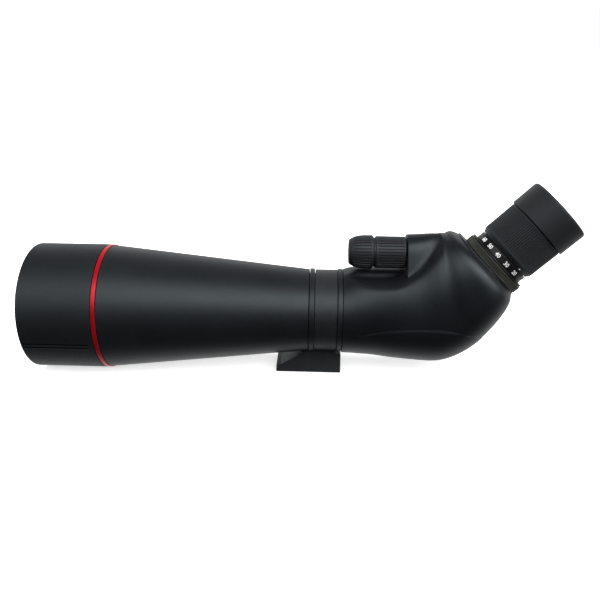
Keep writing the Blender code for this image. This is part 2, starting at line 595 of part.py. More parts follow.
def focus_carriage():
    """Lens frame with an arm back and a post up to the nut's eye."""
    frame = lathe("focus_carriage", [
        (FRAME_X0, FRAME_LIP_R), (FRAME_X0, FRAME_R), (FRAME_X1, FRAME_R),
        (FRAME_X1, FRAME_BORE), (FRAME_LIP_X, FRAME_BORE), (FRAME_LIP_X, FRAME_LIP_R),
    ], "matt_black", carriage)
    combine(frame, "UNION", "carriage_arm_form",
            box((40.0, -ARM_HALF, AXIS_Z + 21.0), (POST_X1, ARM_HALF, AXIS_Z + 26.0)))
    combine(frame, "UNION", "carriage_post_form",
            box((POST_X0, -ARM_HALF, AXIS_Z + 23.0), (POST_X1, ARM_HALF, AXIS_Z + 44.0)))
    combine(frame, "UNION", "carriage_eye_form", x_cylinder(POST_X0, POST_X1, KNOB_Z, 7.8))
    combine(frame, "DIFFERENCE", "nut_seat_cut",
            x_cylinder(NUT_X0 - 3.0, NUT_X1 + 3.0, KNOB_Z, 5.9))
    cut_rails(frame, "rail_cut", 30, 50, 2.15)


focus_carriage()
lathe("focus_nut", tube(NUT_X0, NUT_X1, 3.9, 5.6), "brass",
      empty("nut_axis", (0, 0, KNOB_Z), ALONG_X), SMALL)
lens("focus_lens", (40.0, 42.0), (-90.0, 120.0), 15.0, carriage)
lathe("focus_lens_ring", tube(43.3, 44.8, 13.4, 15.1), "black_anodised", carriage)
for label, side in (("guide_rail_left", -1), ("guide_rail_right", 1)):
    rail_axis = empty(label + "_axis", (0, side * RAIL_Y, AXIS_Z), ALONG_X)
    lathe(label, tube(26.0, 58.0, 0, 1.8), "steel", rail_axis, TINY)

# ---------------------------------------------------------------- prism and its cradle
PRISM_X0, PRISM_X1 = ELBOW_X - PRISM_L, ELBOW_X
CHEEK_IN = PRISM_W / 2 + GAP
CHEEK_OUT = CHEEK_IN + 2.2
STRAP_T, STRAP_LENGTH = 0.7, 6.0
STRAP_IN, STRAP_TOP, STRAP_BOTTOM = CHEEK_OUT + GAP, PRISM_L + GAP + 0.2, -6.0


def roof_prism():
    """Hull of the side outlines and the roof's ridge; its 2D points are (x, z from axis)."""
    tilt = math.radians(EYE_ANGLE / 2)
    outward = Vector((math.sin(tilt), -math.cos(tilt)))
    along = Vector((-outward.y, outward.x))

    def meet_entry(point, x):
        """Where the line along the roof through point reaches x."""
        return x, point.y + (x - point.x) / along.x * along.y

    def meet_exit(point):
        """Where that line meets the exit face x + z = PRISM_X1."""
        reach = (PRISM_X1 - point.x - point.y) / (along.x + along.y)
        return point.x + reach * along.x, point.y + reach * along.y

    ridge = Vector((PRISM_X1, -PRISM_H))
    eave = ridge - outward * (PRISM_W / 2)
    mesh = bmesh.new()
    for y in (-PRISM_W / 2, PRISM_W / 2):
        for x, z in ((PRISM_X0, PRISM_L), meet_entry(eave, PRISM_X0), meet_exit(eave)):
            mesh.verts.new((x, y, AXIS_Z + z))
    for x, z in (meet_entry(ridge, PRISM_X0 + 6.0), meet_exit(ridge)):
        mesh.verts.new((x, 0.0, AXIS_Z + z))
    bmesh.ops.convex_hull(mesh, input=mesh.verts)
    finish("roof_prism", mesh, "coated_glass", sharp=5.0)


def prism_chassis():
    """Plate across the barrel with a cheek either side of the prism."""
    chassis = finish("prism_chassis", turned(tube(58.5, 62.0, 12.0, 27.0), MID),
                     "matt_black", barrel, sharp=20.0)
    for side in (-1, 1):
        y0, y1 = sorted((side * CHEEK_IN, side * CHEEK_OUT))
        combine(chassis, "UNION", f"cheek_form_{side}",
                box((60.0, y0, AXIS_Z - 18.0), (90.0, y1, AXIS_Z + 9.0)))
    cut_rails(chassis, "chassis_rail_cut", 50, 70, 2.1)
    combine(chassis, "DIFFERENCE", "chassis_arm_cut",
            box((50.0, -5.0, AXIS_Z + 19.5), (70.0, 5.0, AXIS_Z + 40.0)))


def prism_strap():
    """Upside-down U over the prism and cheeks."""
    outside, top = STRAP_IN + STRAP_T, STRAP_TOP + STRAP_T
    outline = [    # (y, z from axis)
        (-outside, STRAP_BOTTOM), (-outside, top), (outside, top), (outside, STRAP_BOTTOM),
        (STRAP_IN, STRAP_BOTTOM), (STRAP_IN, STRAP_TOP), (-STRAP_IN, STRAP_TOP),
        (-STRAP_IN, STRAP_BOTTOM)]
    mesh = extruded([(PRISM_X0 + 0.4, y, AXIS_Z + z) for y, z in outline],
                    (STRAP_LENGTH, 0, 0))
    finish("prism_strap", mesh, "steel", sharp=20.0)


roof_prism()
prism_chassis()
prism_strap()

# ---------------------------------------------------------------- eyepiece
BARREL_IN, BARREL_OUT, BARREL_D1 = 14.2, 15.6, 108.0
SHANK_R, SHOULDER_R = 16.6, 18.4
BAND_D0, BAND_D1 = LOCK_D[1] + GAP, SCALE_D[0] - GAP    # band between lock and scale rings
BAND_R, BAND_EDGE_R, BAND_EDGE = 25.1, 24.7, 0.3
SCALE_SEAT_R = 17.2
ZOOM_BORE, ZOOM_EDGE = 17.9, 0.4
CUP_BORE = 19.4

lathe("eyepiece_socket", tube(SEAT_D - 8.0, SEAT_D + 4.5, 17.0, 18.9), "black_anodised", eye)
lathe("eyepiece_lock_ring", tube(*LOCK_D, 19.3, LOCK_R, bevel=0.4), "knurl_black", eye, BIG)
lathe("eyepiece_barrel", [
    (SEAT_D - 12.0, BARREL_IN), (SEAT_D - 12.0, SHANK_R), (SEAT_D + 5.0, SHANK_R),
    (SEAT_D + 5.0, SHOULDER_R), (BAND_D0, SHOULDER_R), (BAND_D0, BAND_EDGE_R),
    (BAND_D0 + BAND_EDGE, BAND_R), (BAND_D1 - BAND_EDGE, BAND_R), (BAND_D1, BAND_EDGE_R),
    (BAND_D1, SCALE_SEAT_R), (SCALE_D[1], SCALE_SEAT_R), (SCALE_D[1], BARREL_OUT),
    (BARREL_D1, BARREL_OUT), (BARREL_D1, BARREL_IN)], "black_anodised", eye)
lathe("scale_ring", tube(*SCALE_D, 17.5, SCALE_R, bevel=0.3), "black_anodised", eye, BIG)
lathe("zoom_ring", [
    (ZOOM_D[0], ZOOM_BORE), (ZOOM_D[0], SCALE_R - 0.2), (ZOOM_D[0] + 3.6, ZOOM_R),
    (ZOOM_D[1] - ZOOM_EDGE, ZOOM_R), (ZOOM_D[1], ZOOM_R - ZOOM_EDGE), (ZOOM_D[1], ZOOM_BORE),
], "rubber", eye, BIG)
lathe("zoom_cam_tube", tube(ZOOM_D[0] + 1.0, ZOOM_D[1] - 1.0, BARREL_OUT + GAP, 17.6),
      "black_anodised", eye)


def zoom_cell(name, d0, d1, lens_r):
    """Cup round a lens, with a 1 mm lip at its front."""
    lip_r, bore_r = lens_r - 1.0, lens_r + GAP
    lathe(name, [(d0, lip_r), (d0, BARREL_IN - GAP), (d1, BARREL_IN - GAP), (d1, bore_r),
                 (d0 + 1.0, bore_r), (d0 + 1.0, lip_r)], "matt_black", eye, SMALL)


zoom_cell("front_zoom_cell", 50.0, 57.0, 11.0)
lens("front_zoom_lens", (52.4, 55.0), (-60.0, 50.0), 11.0, eye, SMALL)
lathe("field_stop", tube(76.0, 77.2, 9.5, BARREL_IN - GAP), "matt_black", eye, SMALL)
zoom_cell("rear_zoom_cell", 86.0, 94.0, 12.0)
lens("rear_zoom_lens", (87.4, 92.6), (70.0, -45.0), 12.0, eye, SMALL)
lens("eye_lens", (99.6, 105.6), (80.0, -40.0), 13.6, eye, SMALL)
lathe("eye_lens_ring", [
    (104.6, 12.9), (104.6, 13.8), (108.4, 13.8), (108.4, 18.6), (109.4, 18.6), (109.4, 13.6),
    (108.6, 12.9)], "black_anodised", eye, SMALL)
lathe("eyecup_cam_ring", tube(CUP_D[0] + 0.6, CUP_D[0] + 10.0, BARREL_OUT + GAP, 19.0),
      "polymer", eye)
lathe("eyecup", [
    (CUP_D[0], CUP_BORE), (CUP_D[0], CUP_R - 0.3), (CUP_D[0] + 0.3, CUP_R),
    (CUP_D[1] - 1.6, CUP_R), (CUP_D[1] - 0.5, CUP_R - 0.6), (CUP_D[1], CUP_R - 1.8),
    (CUP_D[1], 20.6), (CUP_D[1] - 0.8, 19.8), (CUP_D[1] - 5.0, CUP_BORE)], "rubber", eye, BIG)
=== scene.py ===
# A spotting scope with an angled eyepiece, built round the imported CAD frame.
# The optical axis lies along X, AXIS_Z above the ground; the objective is at the -X end.
# At the +X end the rear housing bends upwards and carries the eyepiece at 45 degrees.
# The focus knobs lie on top, the collar's foot stands on z = 0 and its lock knob points to +Y.
# Shapes are worked out in millimetres and meshed in metres. "Front" means towards -X.
import bpy
import bmesh
import json
import math
from mathutils import Matrix, Vector


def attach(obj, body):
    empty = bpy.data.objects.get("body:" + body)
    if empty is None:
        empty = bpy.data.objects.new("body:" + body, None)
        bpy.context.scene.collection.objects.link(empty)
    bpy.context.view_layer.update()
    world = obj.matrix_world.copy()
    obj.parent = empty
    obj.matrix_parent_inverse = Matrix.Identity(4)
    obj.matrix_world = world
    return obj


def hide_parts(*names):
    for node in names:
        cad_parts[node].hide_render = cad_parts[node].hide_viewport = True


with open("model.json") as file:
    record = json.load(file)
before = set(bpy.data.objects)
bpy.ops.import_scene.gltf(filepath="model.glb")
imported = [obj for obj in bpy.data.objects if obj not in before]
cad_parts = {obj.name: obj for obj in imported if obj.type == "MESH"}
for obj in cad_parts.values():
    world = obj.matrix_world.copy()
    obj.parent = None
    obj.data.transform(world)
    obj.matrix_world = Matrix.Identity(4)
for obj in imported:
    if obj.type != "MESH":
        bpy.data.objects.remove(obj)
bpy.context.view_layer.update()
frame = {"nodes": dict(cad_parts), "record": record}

MM = 0.001
AXIS_Z = 46.0                # height of the optical axis
KNOB_Z = 47.3                # focus knob axis above the optical axis
ELBOW_X = 81.15              # where the eyepiece axis leaves the optical axis
VIEW_RISE = math.radians(23.5)   # the line of sight stands this far above the -Y side
C45 = math.sqrt(0.5)

# ================================================================ part frames
# Local Z runs along the part's axis; local X is the direction angle 0 points in.
ALONG_X = Matrix(((0, 0, 1, 0), (0, -1, 0, 0), (1, 0, 0, 0), (0, 0, 0, 1)))
ALONG_Y = Matrix(((1, 0, 0, 0), (0, 0, 1, 0), (0, -1, 0, 0), (0, 0, 0, 1)))
OPTICS = Matrix.Translation((0, 0, AXIS_Z)) @ ALONG_X      # angle 0 up, +90 towards -Y
KNOBS = Matrix.Translation((0, 0, AXIS_Z + KNOB_Z)) @ ALONG_X
LOCK_KNOB = Matrix.Translation((0, 0, AXIS_Z)) @ ALONG_Y


def eyepiece_frame():
    """Axis at 45 degrees, with angle 0 turned towards the line of sight."""
    axis = Vector((C45, 0, C45))
    sight = Vector((0, -math.cos(VIEW_RISE), math.sin(VIEW_RISE)))
    facing = (sight - axis * sight.dot(axis)).normalized()
    turn = Matrix((facing, axis.cross(facing), axis)).transposed().to_4x4()
    return Matrix.Translation((ELBOW_X, 0, AXIS_Z)) @ turn


EYEPIECE = eyepiece_frame()


# ================================================================ numbers and outlines
def smoothstep(low, high, value):
    part = min(1.0, max(0.0, (value - low) / (high - low)))
    return part * part * (3 - 2 * part)


def smax(first, second, blend):
    """Maximum with its corner rounded over blend."""
    overlap = max(blend - abs(first - second), 0.0) / blend
    return max(first, second) + overlap * overlap * blend * 0.25


def smin(first, second, blend):
    return -smax(-first, -second, blend)


def curve(points, x):
    """Monotone cubic through control points."""
    xs, ys = zip(*points)
    x = min(xs[-1], max(xs[0], x))
    gaps = [b - a for a, b in zip(xs, xs[1:])]
    slopes = [(b - a) / gap for a, b, gap in zip(ys, ys[1:], gaps)]
    middle = [0.0 if a * b <= 0 else 2.0 * a * b / (a + b) for a, b in zip(slopes, slopes[1:])]
    tangents = [slopes[0]] + middle + [slopes[-1]]
    i = max(j for j in range(len(gaps)) if x >= xs[j])
    part = (x - xs[i]) / gaps[i]
    return (ys[i] * (1 + 2 * part) * (1 - part) ** 2
            + gaps[i] * tangents[i] * part * (1 - part) ** 2
            + ys[i + 1] * part * part * (3 - 2 * part)
            + gaps[i] * tangents[i + 1] * part * part * (part - 1))


def fillet(points, steps=4):
    """Rounds a closed outline. Each point is (along, radius) or (along, radius, rounding)."""
    out = []
    for i, point in enumerate(points):
        corner = Vector(point[:2])
        if len(point) < 3:
            out.append(tuple(corner))
            continue
        before = Vector(points[i - 1][:2]) - corner
        after = Vector(points[(i + 1) % len(points)][:2]) - corner
        room = (before.length * 0.49, after.length * 0.49)
        before.normalize()
        after.normalize()
        half = math.acos(max(-1, min(1, before.dot(after)))) / 2
        cut = min(point[2] / math.tan(half), *room)
        rounding = cut * math.tan(half)
        centre = corner + (before + after).normalized() * (rounding / math.sin(half))
        start = corner + before * cut - centre
        end = corner + after * cut - centre
        start_angle = math.atan2(start.y, start.x)
        sweep = math.atan2(end.y, end.x) - start_angle
        sweep = (sweep + math.pi) % (2 * math.pi) - math.pi
        for j in range(steps + 1):
            angle = start_angle + sweep * j / steps
            out.append((centre.x + rounding * math.cos(angle),
                        centre.y + rounding * math.sin(angle)))
    return out


def refine(profile, parts):
    """Splits each span of a closed profile into parts(start, end) equal pieces."""
    out = []
    for a, b in zip(profile, profile[1:] + profile[:1]):
        out.append(a)
        n = parts(a, b)
        out += [(a[0] + (b[0] - a[0]) * j / n, a[1] + (b[1] - a[1]) * j / n)
                for j in range(1, n)]
    return out


def in_steps(profile, step):
    """Splits the spans that are longer than step and clear of the axis."""
    def parts(a, b):
        length = math.hypot(b[0] - a[0], b[1] - a[1])
        return int(length / step) + 1 if length > step and min(a[1], b[1]) > 0 else 1
    return refine(profile, parts)


def in_bands(profile, start, end, bands, min_radius):
    """Splits the outer spans at a pitch of (end - start) / bands."""
    def parts(a, b):
        run = abs(a[0] - b[0])
        if min(a[1], b[1]) > min_radius and run > 1.2:
            return max(2, int(run / ((end - start) / bands)))
        return 1
    return refine(profile, parts)


def lens_profile(front, back, front_curve, back_curve, rim, steps=14):
    """Half section of a lens; the curves are signed radii of curvature."""
    def sag(bend, height):
        return math.copysign(abs(bend) - math.sqrt(bend * bend - height * height), bend)
    heights = [rim * k / steps for k in range(steps + 1)]
    return ([(front + sag(front_curve, height), height) for height in heights]
            + [(back + sag(back_curve, height), height) for height in reversed(heights)])


def ribbed(count, depth, share, edge, start, end, fade):
    """Axial grooves: count round the ring, each about share of the pitch, fading at both ends."""
    def shape(along, radius, angle):
        pitch = (angle * count / (2 * math.pi)) % 1.0
        off_groove = abs(pitch - 0.5) * 2.0          # 1 at the ridge's middle, 0 in the groove
        groove = 1.0 - smoothstep(share - edge, share + edge, off_groove)
        run = smoothstep(start, start + fade, along) * (1 - smoothstep(end - fade, end, along))
        return radius - depth * groove * run if radius > 6.0 else radius
    return shape


# ================================================================ meshes
def bridge(rings, close=True, caps=False, scale=MM):
    """Bridges loops of points into a tube; close joins last to first, caps fill both ends."""
    mesh = bmesh.new()
    rows = [[mesh.verts.new(Vector(point) * scale) for point in ring] for ring in rings]
    pairs = list(zip(rows, rows[1:]))
    if close:
        pairs.append((rows[-1], rows[0]))
    for low, high in pairs:
        for k in range(max(len(low), len(high))):
            corners = (low[k % len(low)], low[(k + 1) % len(low)],
                       high[(k + 1) % len(high)], high[k % len(high)])
            corners = list(dict.fromkeys(corners))
            if len(corners) > 2:
                mesh.faces.new(corners)
    if caps:
        mesh.faces.new(rows[-1])
        mesh.faces.new(rows[0])
    return mesh


def to_object(name, mesh):
    data = bpy.data.meshes.new(name)
    mesh.to_mesh(data)
    mesh.free()
    obj = bpy.data.objects.new(name, data)
    bpy.context.scene.collection.objects.link(obj)
    return obj


def smooth(obj, sharp):
    obj.data.shade_smooth()
    obj.data.set_sharp_from_angle(angle=math.radians(sharp))


def smooth_object(name, mesh, sharp=38.0, weighted=True):
    """Cleans the mesh and shades it smooth, apart from edges over sharp degrees."""
    bmesh.ops.remove_doubles(mesh, verts=mesh.verts, dist=1e-6)
    bmesh.ops.dissolve_degenerate(mesh, edges=mesh.edges, dist=1e-7)
    bmesh.ops.recalc_face_normals(mesh, faces=mesh.faces)
    obj = to_object(name, mesh)
    smooth(obj, sharp)
    if weighted:
        normals = obj.modifiers.new("weighted", "WEIGHTED_NORMAL")
        normals.keep_sharp = True
        normals.weight = 80
    return obj


def around(count):
    return [2 * math.pi * k / count for k in range(count)]


def turned_rings(profile, place, angles, shape=None):
    """Rings of a turned piece; shape(along, radius, angle) may change the radius."""
    rings = []
    for along, radius in profile:
        if radius <= 1e-9:
            rings.append([place @ Vector((0, 0, along))])
            continue
        ring = []
        for angle in angles:
            reach = shape(along, radius, angle) if shape else radius
            point = Vector((reach * math.cos(angle), reach * math.sin(angle), along))
            ring.append(place @ point)
        rings.append(ring)
    return rings


def turned(name, profile, place, angles, shape=None, closed=True, sharp=38.0):
    """A smooth turned piece. profile is (along, radius) points."""
    rings = turned_rings(profile, place, angles, shape)
    return smooth_object(name, bridge(rings, close=closed), sharp)


def plain_solid(name, mesh):
    bmesh.ops.remove_doubles(mesh, verts=mesh.verts, dist=1e-7)
    bmesh.ops.recalc_face_normals(mesh, faces=mesh.faces)
    return to_object(name, mesh)


def turned_solid(profile, place, segments):
    """A solid for boolean work; its profile starts and ends on the axis."""
    rings = turned_rings(profile, place, around(segments))
    return plain_solid("turned_solid", bridge(rings, close=False))


def cylinder(start, end, radius, place, segments):
    profile = [(start, 0), (start, radius), (end, radius), (end, 0)]
    return turned_solid(profile, place, segments)


def evaluated_mesh(obj):
    bpy.context.view_layer.update()
    graph = bpy.context.evaluated_depsgraph_get()
    return bpy.data.meshes.new_from_object(obj.evaluated_get(graph))


def combine(target, other, operation):
    """Applies a boolean to target and deletes the other solid."""
    boolean = target.modifiers.new(operation, "BOOLEAN")
    boolean.operation = operation
    boolean.object = other
    boolean.solver = "MANIFOLD"
    data = evaluated_mesh(target)
    target.modifiers.clear()
    old = target.data
    target.data = data
    bpy.data.meshes.remove(old)
    bpy.data.objects.remove(other)


# ================================================================ materials
class Tree:
    """Adds nodes to a node tree and wires them."""

    def __init__(self, tree):
        self.tree = tree

    def node(self, kind, **settings):
        node = self.tree.nodes.new(kind)
        for key, value in settings.items():
            setattr(node, key, value)
        return node

    def put(self, socket, value):
        """Links a socket, or sets a number or an RGB colour."""
        if isinstance(value, bpy.types.NodeSocket):
            self.tree.links.new(value, socket)
        elif isinstance(value, tuple):
            socket.default_value = (*value, 1.0)
        else:
            socket.default_value = value

    def math(self, operation, first, second):
        node = self.node("ShaderNodeMath", operation=operation)
        self.put(node.inputs[0], first)
        self.put(node.inputs[1], second)
        return node.outputs[0]

    def remap(self, value, source=(0.0, 1.0), target=(0.0, 1.0), **settings):
        """Maps the source range onto the target range, clamped."""
        node = self.node("ShaderNodeMapRange", **settings)
        for key, limits in (("From", source), ("To", target)):
            node.inputs[key + " Min"].default_value = limits[0]
            node.inputs[key + " Max"].default_value = limits[1]
        self.put(node.inputs["Value"], value)
        return node.outputs["Result"]


class Look(Tree):
    """A material under construction."""

    def __init__(self, name):
        self.material = bpy.data.materials.new(name)
        self.material.use_nodes = True
        super().__init__(self.material.node_tree)
        self.principled = self.tree.nodes["Principled BSDF"]
        self.surface = self.tree.nodes["Material Output"].inputs["Surface"]
        self.coords = self.node("ShaderNodeTexCoord").outputs["Object"]

    def set(self, name, value):
        self.put(self.principled.inputs[name], value)

    def noise(self, scale, detail=3.0, rough=0.55, coords=None):
        node = self.node("ShaderNodeTexNoise")
        node.inputs["Scale"].default_value = scale
        node.inputs["Detail"].default_value = detail
        node.inputs["Roughness"].default_value = rough
        self.put(node.inputs["Vector"], coords or self.coords)
        return node.outputs["Fac"]

    def turning_lines(self, across, along, detail):
        """Noise squeezed along X into fine lines round the optical axis."""
        node = self.node("ShaderNodeMapping")
        node.inputs["Scale"].default_value = (across, along, along)
        self.put(node.inputs["Vector"], self.coords)
        return self.noise(scale=1.0, detail=detail, coords=node.outputs["Vector"])

    def mix(self, factor, first, second):
        node = self.node("ShaderNodeMix", data_type="RGBA")
        for index, value in ((0, factor), (6, first), (7, second)):
            self.put(node.inputs[index], value)
        return node.outputs[2]

    def bump(self, height, strength, distance, below=None):
        node = self.node("ShaderNodeBump")
        node.inputs["Strength"].default_value = strength
        node.inputs["Distance"].default_value = distance
        self.put(node.inputs["Height"], height)
        if below is not None:
            self.put(node.inputs["Normal"], below)
        return node.outputs["Normal"]

    def edges(self, low, high):
        """Rises from 0 to 1 on convex edges, over this range of pointiness."""
        geometry = self.node("ShaderNodeNewGeometry")
        return self.remap(geometry.outputs["Pointiness"], source=(low, high))

    def off_axis(self):
        """Distance from the optical axis, in metres."""
        split = self.node("ShaderNodeSeparateXYZ")
        position = self.node("ShaderNodeNewGeometry").outputs["Position"]
        self.put(split.inputs[0], position)
        y = split.outputs["Y"]
        z = self.math("SUBTRACT", split.outputs["Z"], AXIS_Z / 1000.0)
        y_squared = self.math("MULTIPLY", y, y)
        z_squared = self.math("MULTIPLY", z, z)
        return self.math("SQRT", self.math("ADD", y_squared, z_squared), 0.0)


NOISE_MID = (0.3, 0.7)       # the range most noise values fall in


def shade(colour, factor, lift=0.0):
    return tuple(min(1.0, channel * factor + lift) for channel in colour)


def black(name, colour, rough, grain=0.35, grain_scale=2600.0, mottling=0.25, edge=0.05,
          spec=0.5, peel=0.0, sheen=0.0, painted_shade_radius=0.0):
    """Black paint, rubber or moulding: cloudy tone, fine grain, paler edges, uneven gloss.

    grain and peel are bump strengths; edge is the share of wear on edges.
    Surfaces nearer the optical axis than the shade radius (mm) get painted shade: near black,
    with dulled reflections.
    """
    look = Look(name)
    cloud = look.noise(scale=28.0, detail=4.0)
    fine = look.noise(scale=grain_scale, detail=2.0, rough=0.6)
    medium = look.noise(scale=420.0)
    base = look.mix(look.remap(cloud, source=NOISE_MID),
                    shade(colour, 1 - mottling), shade(colour, 1 + mottling))
    specks = look.remap(fine, source=(0.5, 0.8), target=(0, 0.5))
    specked = look.mix(specks, base, shade(colour, 2.0, lift=0.004))
    wear = look.math("MULTIPLY", look.edges(0.515, 0.60), edge * 4)
    tone = look.mix(wear, specked, (0.11, 0.11, 0.115))
    # painted shade: close to the axis (the sight-mark grooves and the hood's inside) the tone
    # goes near black and the reflection is dulled
    if painted_shade_radius:
        limits = ((painted_shade_radius - 0.30) / 1000.0, (painted_shade_radius - 0.10) / 1000.0)
        low = look.remap(look.off_axis(), source=limits, target=(1.0, 0.0))
        tone = look.mix(low, tone, (0.0012, 0.0012, 0.0014))
        shade_dulled_spec = look.math("MULTIPLY", look.remap(low, target=(1.0, 0.15)), spec)
        look.set("Specular IOR Level", shade_dulled_spec)
    look.set("Base Color", tone)
    look.set("Specular Tint", (0.82, 0.94, 1.0))
    broad_gloss = look.remap(cloud, source=NOISE_MID, target=(rough - 0.03, rough + 0.03))
    small_gloss = look.remap(medium, source=NOISE_MID, target=(-0.03, 0.03))
    look.set("Roughness", look.math("ADD", broad_gloss, small_gloss))
    look.set("Specular IOR Level", spec)
    if sheen:
        look.set("Sheen Weight", sheen)
        look.set("Sheen Roughness", 0.45)
    relief = look.bump(fine, strength=grain, distance=0.00008)
    if peel:
        waves = look.noise(scale=240.0, detail=2.0)
        relief = look.bump(waves, strength=peel, distance=0.0002, below=relief)
    look.set("Normal", relief)
    return look.material


def anodised(name, colour, rough, metal, line=0.2):
    """Turned and anodised metal: fine lines of strength line, seen as uneven gloss."""
    look = Look(name)
    lines = look.turning_lines(across=5200.0, along=30.0, detail=2.0)
    cloud = look.noise(scale=60.0)
    base = look.mix(look.remap(cloud, source=NOISE_MID), shade(colour, 0.86), shade(colour, 1.12))
    wear = look.math("MULTIPLY", look.edges(0.52, 0.62), 0.25)
    look.set("Base Color", look.mix(wear, base, shade(colour, 1.4, lift=0.03)))
    gloss = look.remap(lines, source=NOISE_MID, target=(rough - 0.06, rough + 0.08))
    look.set("Roughness", gloss)
    look.set("Metallic", metal)
    look.set("Normal", look.bump(lines, strength=line, distance=0.00004))
    return look.material


def bare_metal(name, colour, rough):
    """Turned metal with faint stains."""
    look = Look(name)
    lines = look.turning_lines(across=4200.0, along=40.0, detail=3.0)
    stain = look.noise(scale=90.0, detail=4.0)
    stained = look.remap(stain, source=(0.35, 0.75))
    look.set("Base Color", look.mix(stained, colour, shade(colour, 0.72)))
    gloss = look.remap(lines, source=NOISE_MID, target=(rough - 0.08, rough + 0.12))
    look.set("Roughness", gloss)
    look.set("Metallic", 1.0)
    look.set("Normal", look.bump(lines, strength=0.25, distance=0.00005))
    return look.material


def glass(name, tint, facing, grazing):
    """Coated glass: clear, with a reflection that changes colour towards grazing angles."""
    look = Look(name)
    dust = look.noise(scale=900.0, detail=2.0)
    look.set("Base Color", tint)
    look.set("Transmission Weight", 1.0)
    look.set("IOR", 1.52)
    look.set("Roughness", look.remap(dust, source=(0.55, 0.9), target=(0.0, 0.035)))
    weight = look.node("ShaderNodeLayerWeight")
    weight.inputs["Blend"].default_value = 0.35
    gloss = look.node("ShaderNodeBsdfGlossy")
    gloss.inputs["Roughness"].default_value = 0.02
    look.put(gloss.inputs["Color"], look.mix(weight.outputs["Facing"], facing, grazing))
    mixer = look.node("ShaderNodeMixShader")
    share = look.remap(weight.outputs["Fresnel"], target=(0.05, 0.55))
    look.put(mixer.inputs[0], share)
    look.put(mixer.inputs[1], look.principled.outputs[0])
    look.put(mixer.inputs[2], gloss.outputs[0])
    look.put(look.surface, mixer.outputs[0])
    return look.material


def felt(name):
    look = Look(name)
    fibres = look.noise(scale=1800.0, detail=5.0, rough=0.7)
    look.set("Base Color", look.mix(fibres, (0.006, 0.006, 0.006), (0.035, 0.035, 0.036)))
    look.set("Roughness", 0.95)
    look.set("Sheen Weight", 0.4)
    look.set("Normal", look.bump(fibres, strength=0.8, distance=0.0003))
    return look.material


def ink(name, colour):
    """Screen-printed pale ink, slightly uneven, and lifted by a faint painted glow."""
    look = Look(name)
    patches = look.noise(scale=2400.0)
    cover = look.remap(patches, source=(0.25, 0.6))
    look.set("Base Color", look.mix(cover, shade(colour, 0.72), colour))
    look.set("Roughness", 0.6)
    look.set("Normal", look.bump(patches, strength=0.3, distance=0.00005))
    # painted light: a faint white glow makes the print brighter than the lamps alone would
    look.set("Emission Color", (1.0, 1.0, 1.0))
    look.set("Emission Strength", 0.22)
    return look.material


FINISHES = {
    "tube_paint": (black, dict(colour=(0.0042, 0.0048, 0.0058), rough=0.44, grain=0.22,
                               grain_scale=3200.0, mottling=0.14, peel=0.05, edge=0.03)),
    # the hood's sight-mark grooves and its inside get painted shade: darkened near black within
    # 47 mm of the axis
    "hood_paint": (black, dict(colour=(0.0046, 0.0052, 0.0060), rough=0.50, grain=0.28,
                               grain_scale=2800.0, mottling=0.14, peel=0.05, edge=0.03,
                               painted_shade_radius=47.0)),
    "armour": (black, dict(colour=(0.0038, 0.0044, 0.0056), rough=0.42, grain=0.22,
                           grain_scale=3400.0, mottling=0.14, peel=0.05, edge=0.03)),
    "collar_cast": (black, dict(colour=(0.0056, 0.0060, 0.0068), rough=0.46, grain=0.75,
                                grain_scale=1500.0, mottling=0.22, edge=0.06)),
    "black_anodised": (anodised, dict(colour=(0.007, 0.007, 0.008), rough=0.36, metal=0.25)),
    "knurl_black": (anodised, dict(colour=(0.030, 0.032, 0.024), rough=0.46, metal=0.25,
                                   line=0.05)),
    "red_anodised": (anodised, dict(colour=(0.42, 0.008, 0.018), rough=0.30, metal=0.55,
                                    line=0.10)),
    "rubber": (black, dict(colour=(0.0105, 0.0108, 0.0118), rough=0.56, grain=0.5,
                           grain_scale=2200.0, mottling=0.2, edge=0.07, spec=0.4, sheen=0.05)),
    "knob_plastic": (black, dict(colour=(0.0115, 0.0120, 0.0132), rough=0.50, grain=0.4,
                                 grain_scale=2400.0, mottling=0.18, edge=0.08)),
    "matt_black": (black, dict(colour=(0.006, 0.006, 0.006), rough=0.85, grain=0.6,
                               grain_scale=1800.0, mottling=0.3, edge=0.0, spec=0.2)),
    "felt": (felt, {}),
    "polymer": (black, dict(colour=(0.045, 0.045, 0.046), rough=0.45, grain=0.3, mottling=0.1)),
    "steel": (bare_metal, dict(colour=(0.56, 0.56, 0.57), rough=0.30)),
    "brass": (bare_metal, dict(colour=(0.62, 0.46, 0.21), rough=0.32)),
    "coated_glass": (glass, dict(tint=(0.93, 0.985, 0.955), facing=(0.20, 0.85, 0.48),
                                 grazing=(0.55, 0.25, 0.85))),
    "print": (ink, dict(colour=(0.90, 0.90, 0.90))),
}
MATERIALS = {name: finish(name + "_v", **settings)
             for name, (finish, settings) in FINISHES.items()}


def set_material(obj, look):
    obj.data.materials.clear()
    obj.data.materials.append(MATERIALS[look])


def dress_cad_nodes():
    slots = {part["node"]: part["material_slot"] for part in frame["record"]["subparts"]}
    for node, obj in frame["nodes"].items():
        set_material(obj, slots[node])


def piece(obj, body, look, node):
    """Gives a piece its material and puts it in the CAD node's place on a moving body."""
    set_material(obj, look)
    for face in obj.data.polygons:
        face.material_index = 0
    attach(obj, body)
    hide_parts(node)


# ================================================================ tube
# Outlines are (along, radius) or (along, radius, rounding) in the part's frame.
TUBE_X0, TUBE_R0 = -160.9, 46.3      # wide front end of the cone
TUBE_X1, TUBE_R1 = -12.5, 31.0       # narrow end, against the collar
SPIGOT_X0, SPIGOT_R = -206.0, 44.4   # cylinder the hood slides on


def cone_radius(x):
    return TUBE_R0 + (TUBE_R1 - TUBE_R0) * (x - TUBE_X0) / (TUBE_X1 - TUBE_X0)


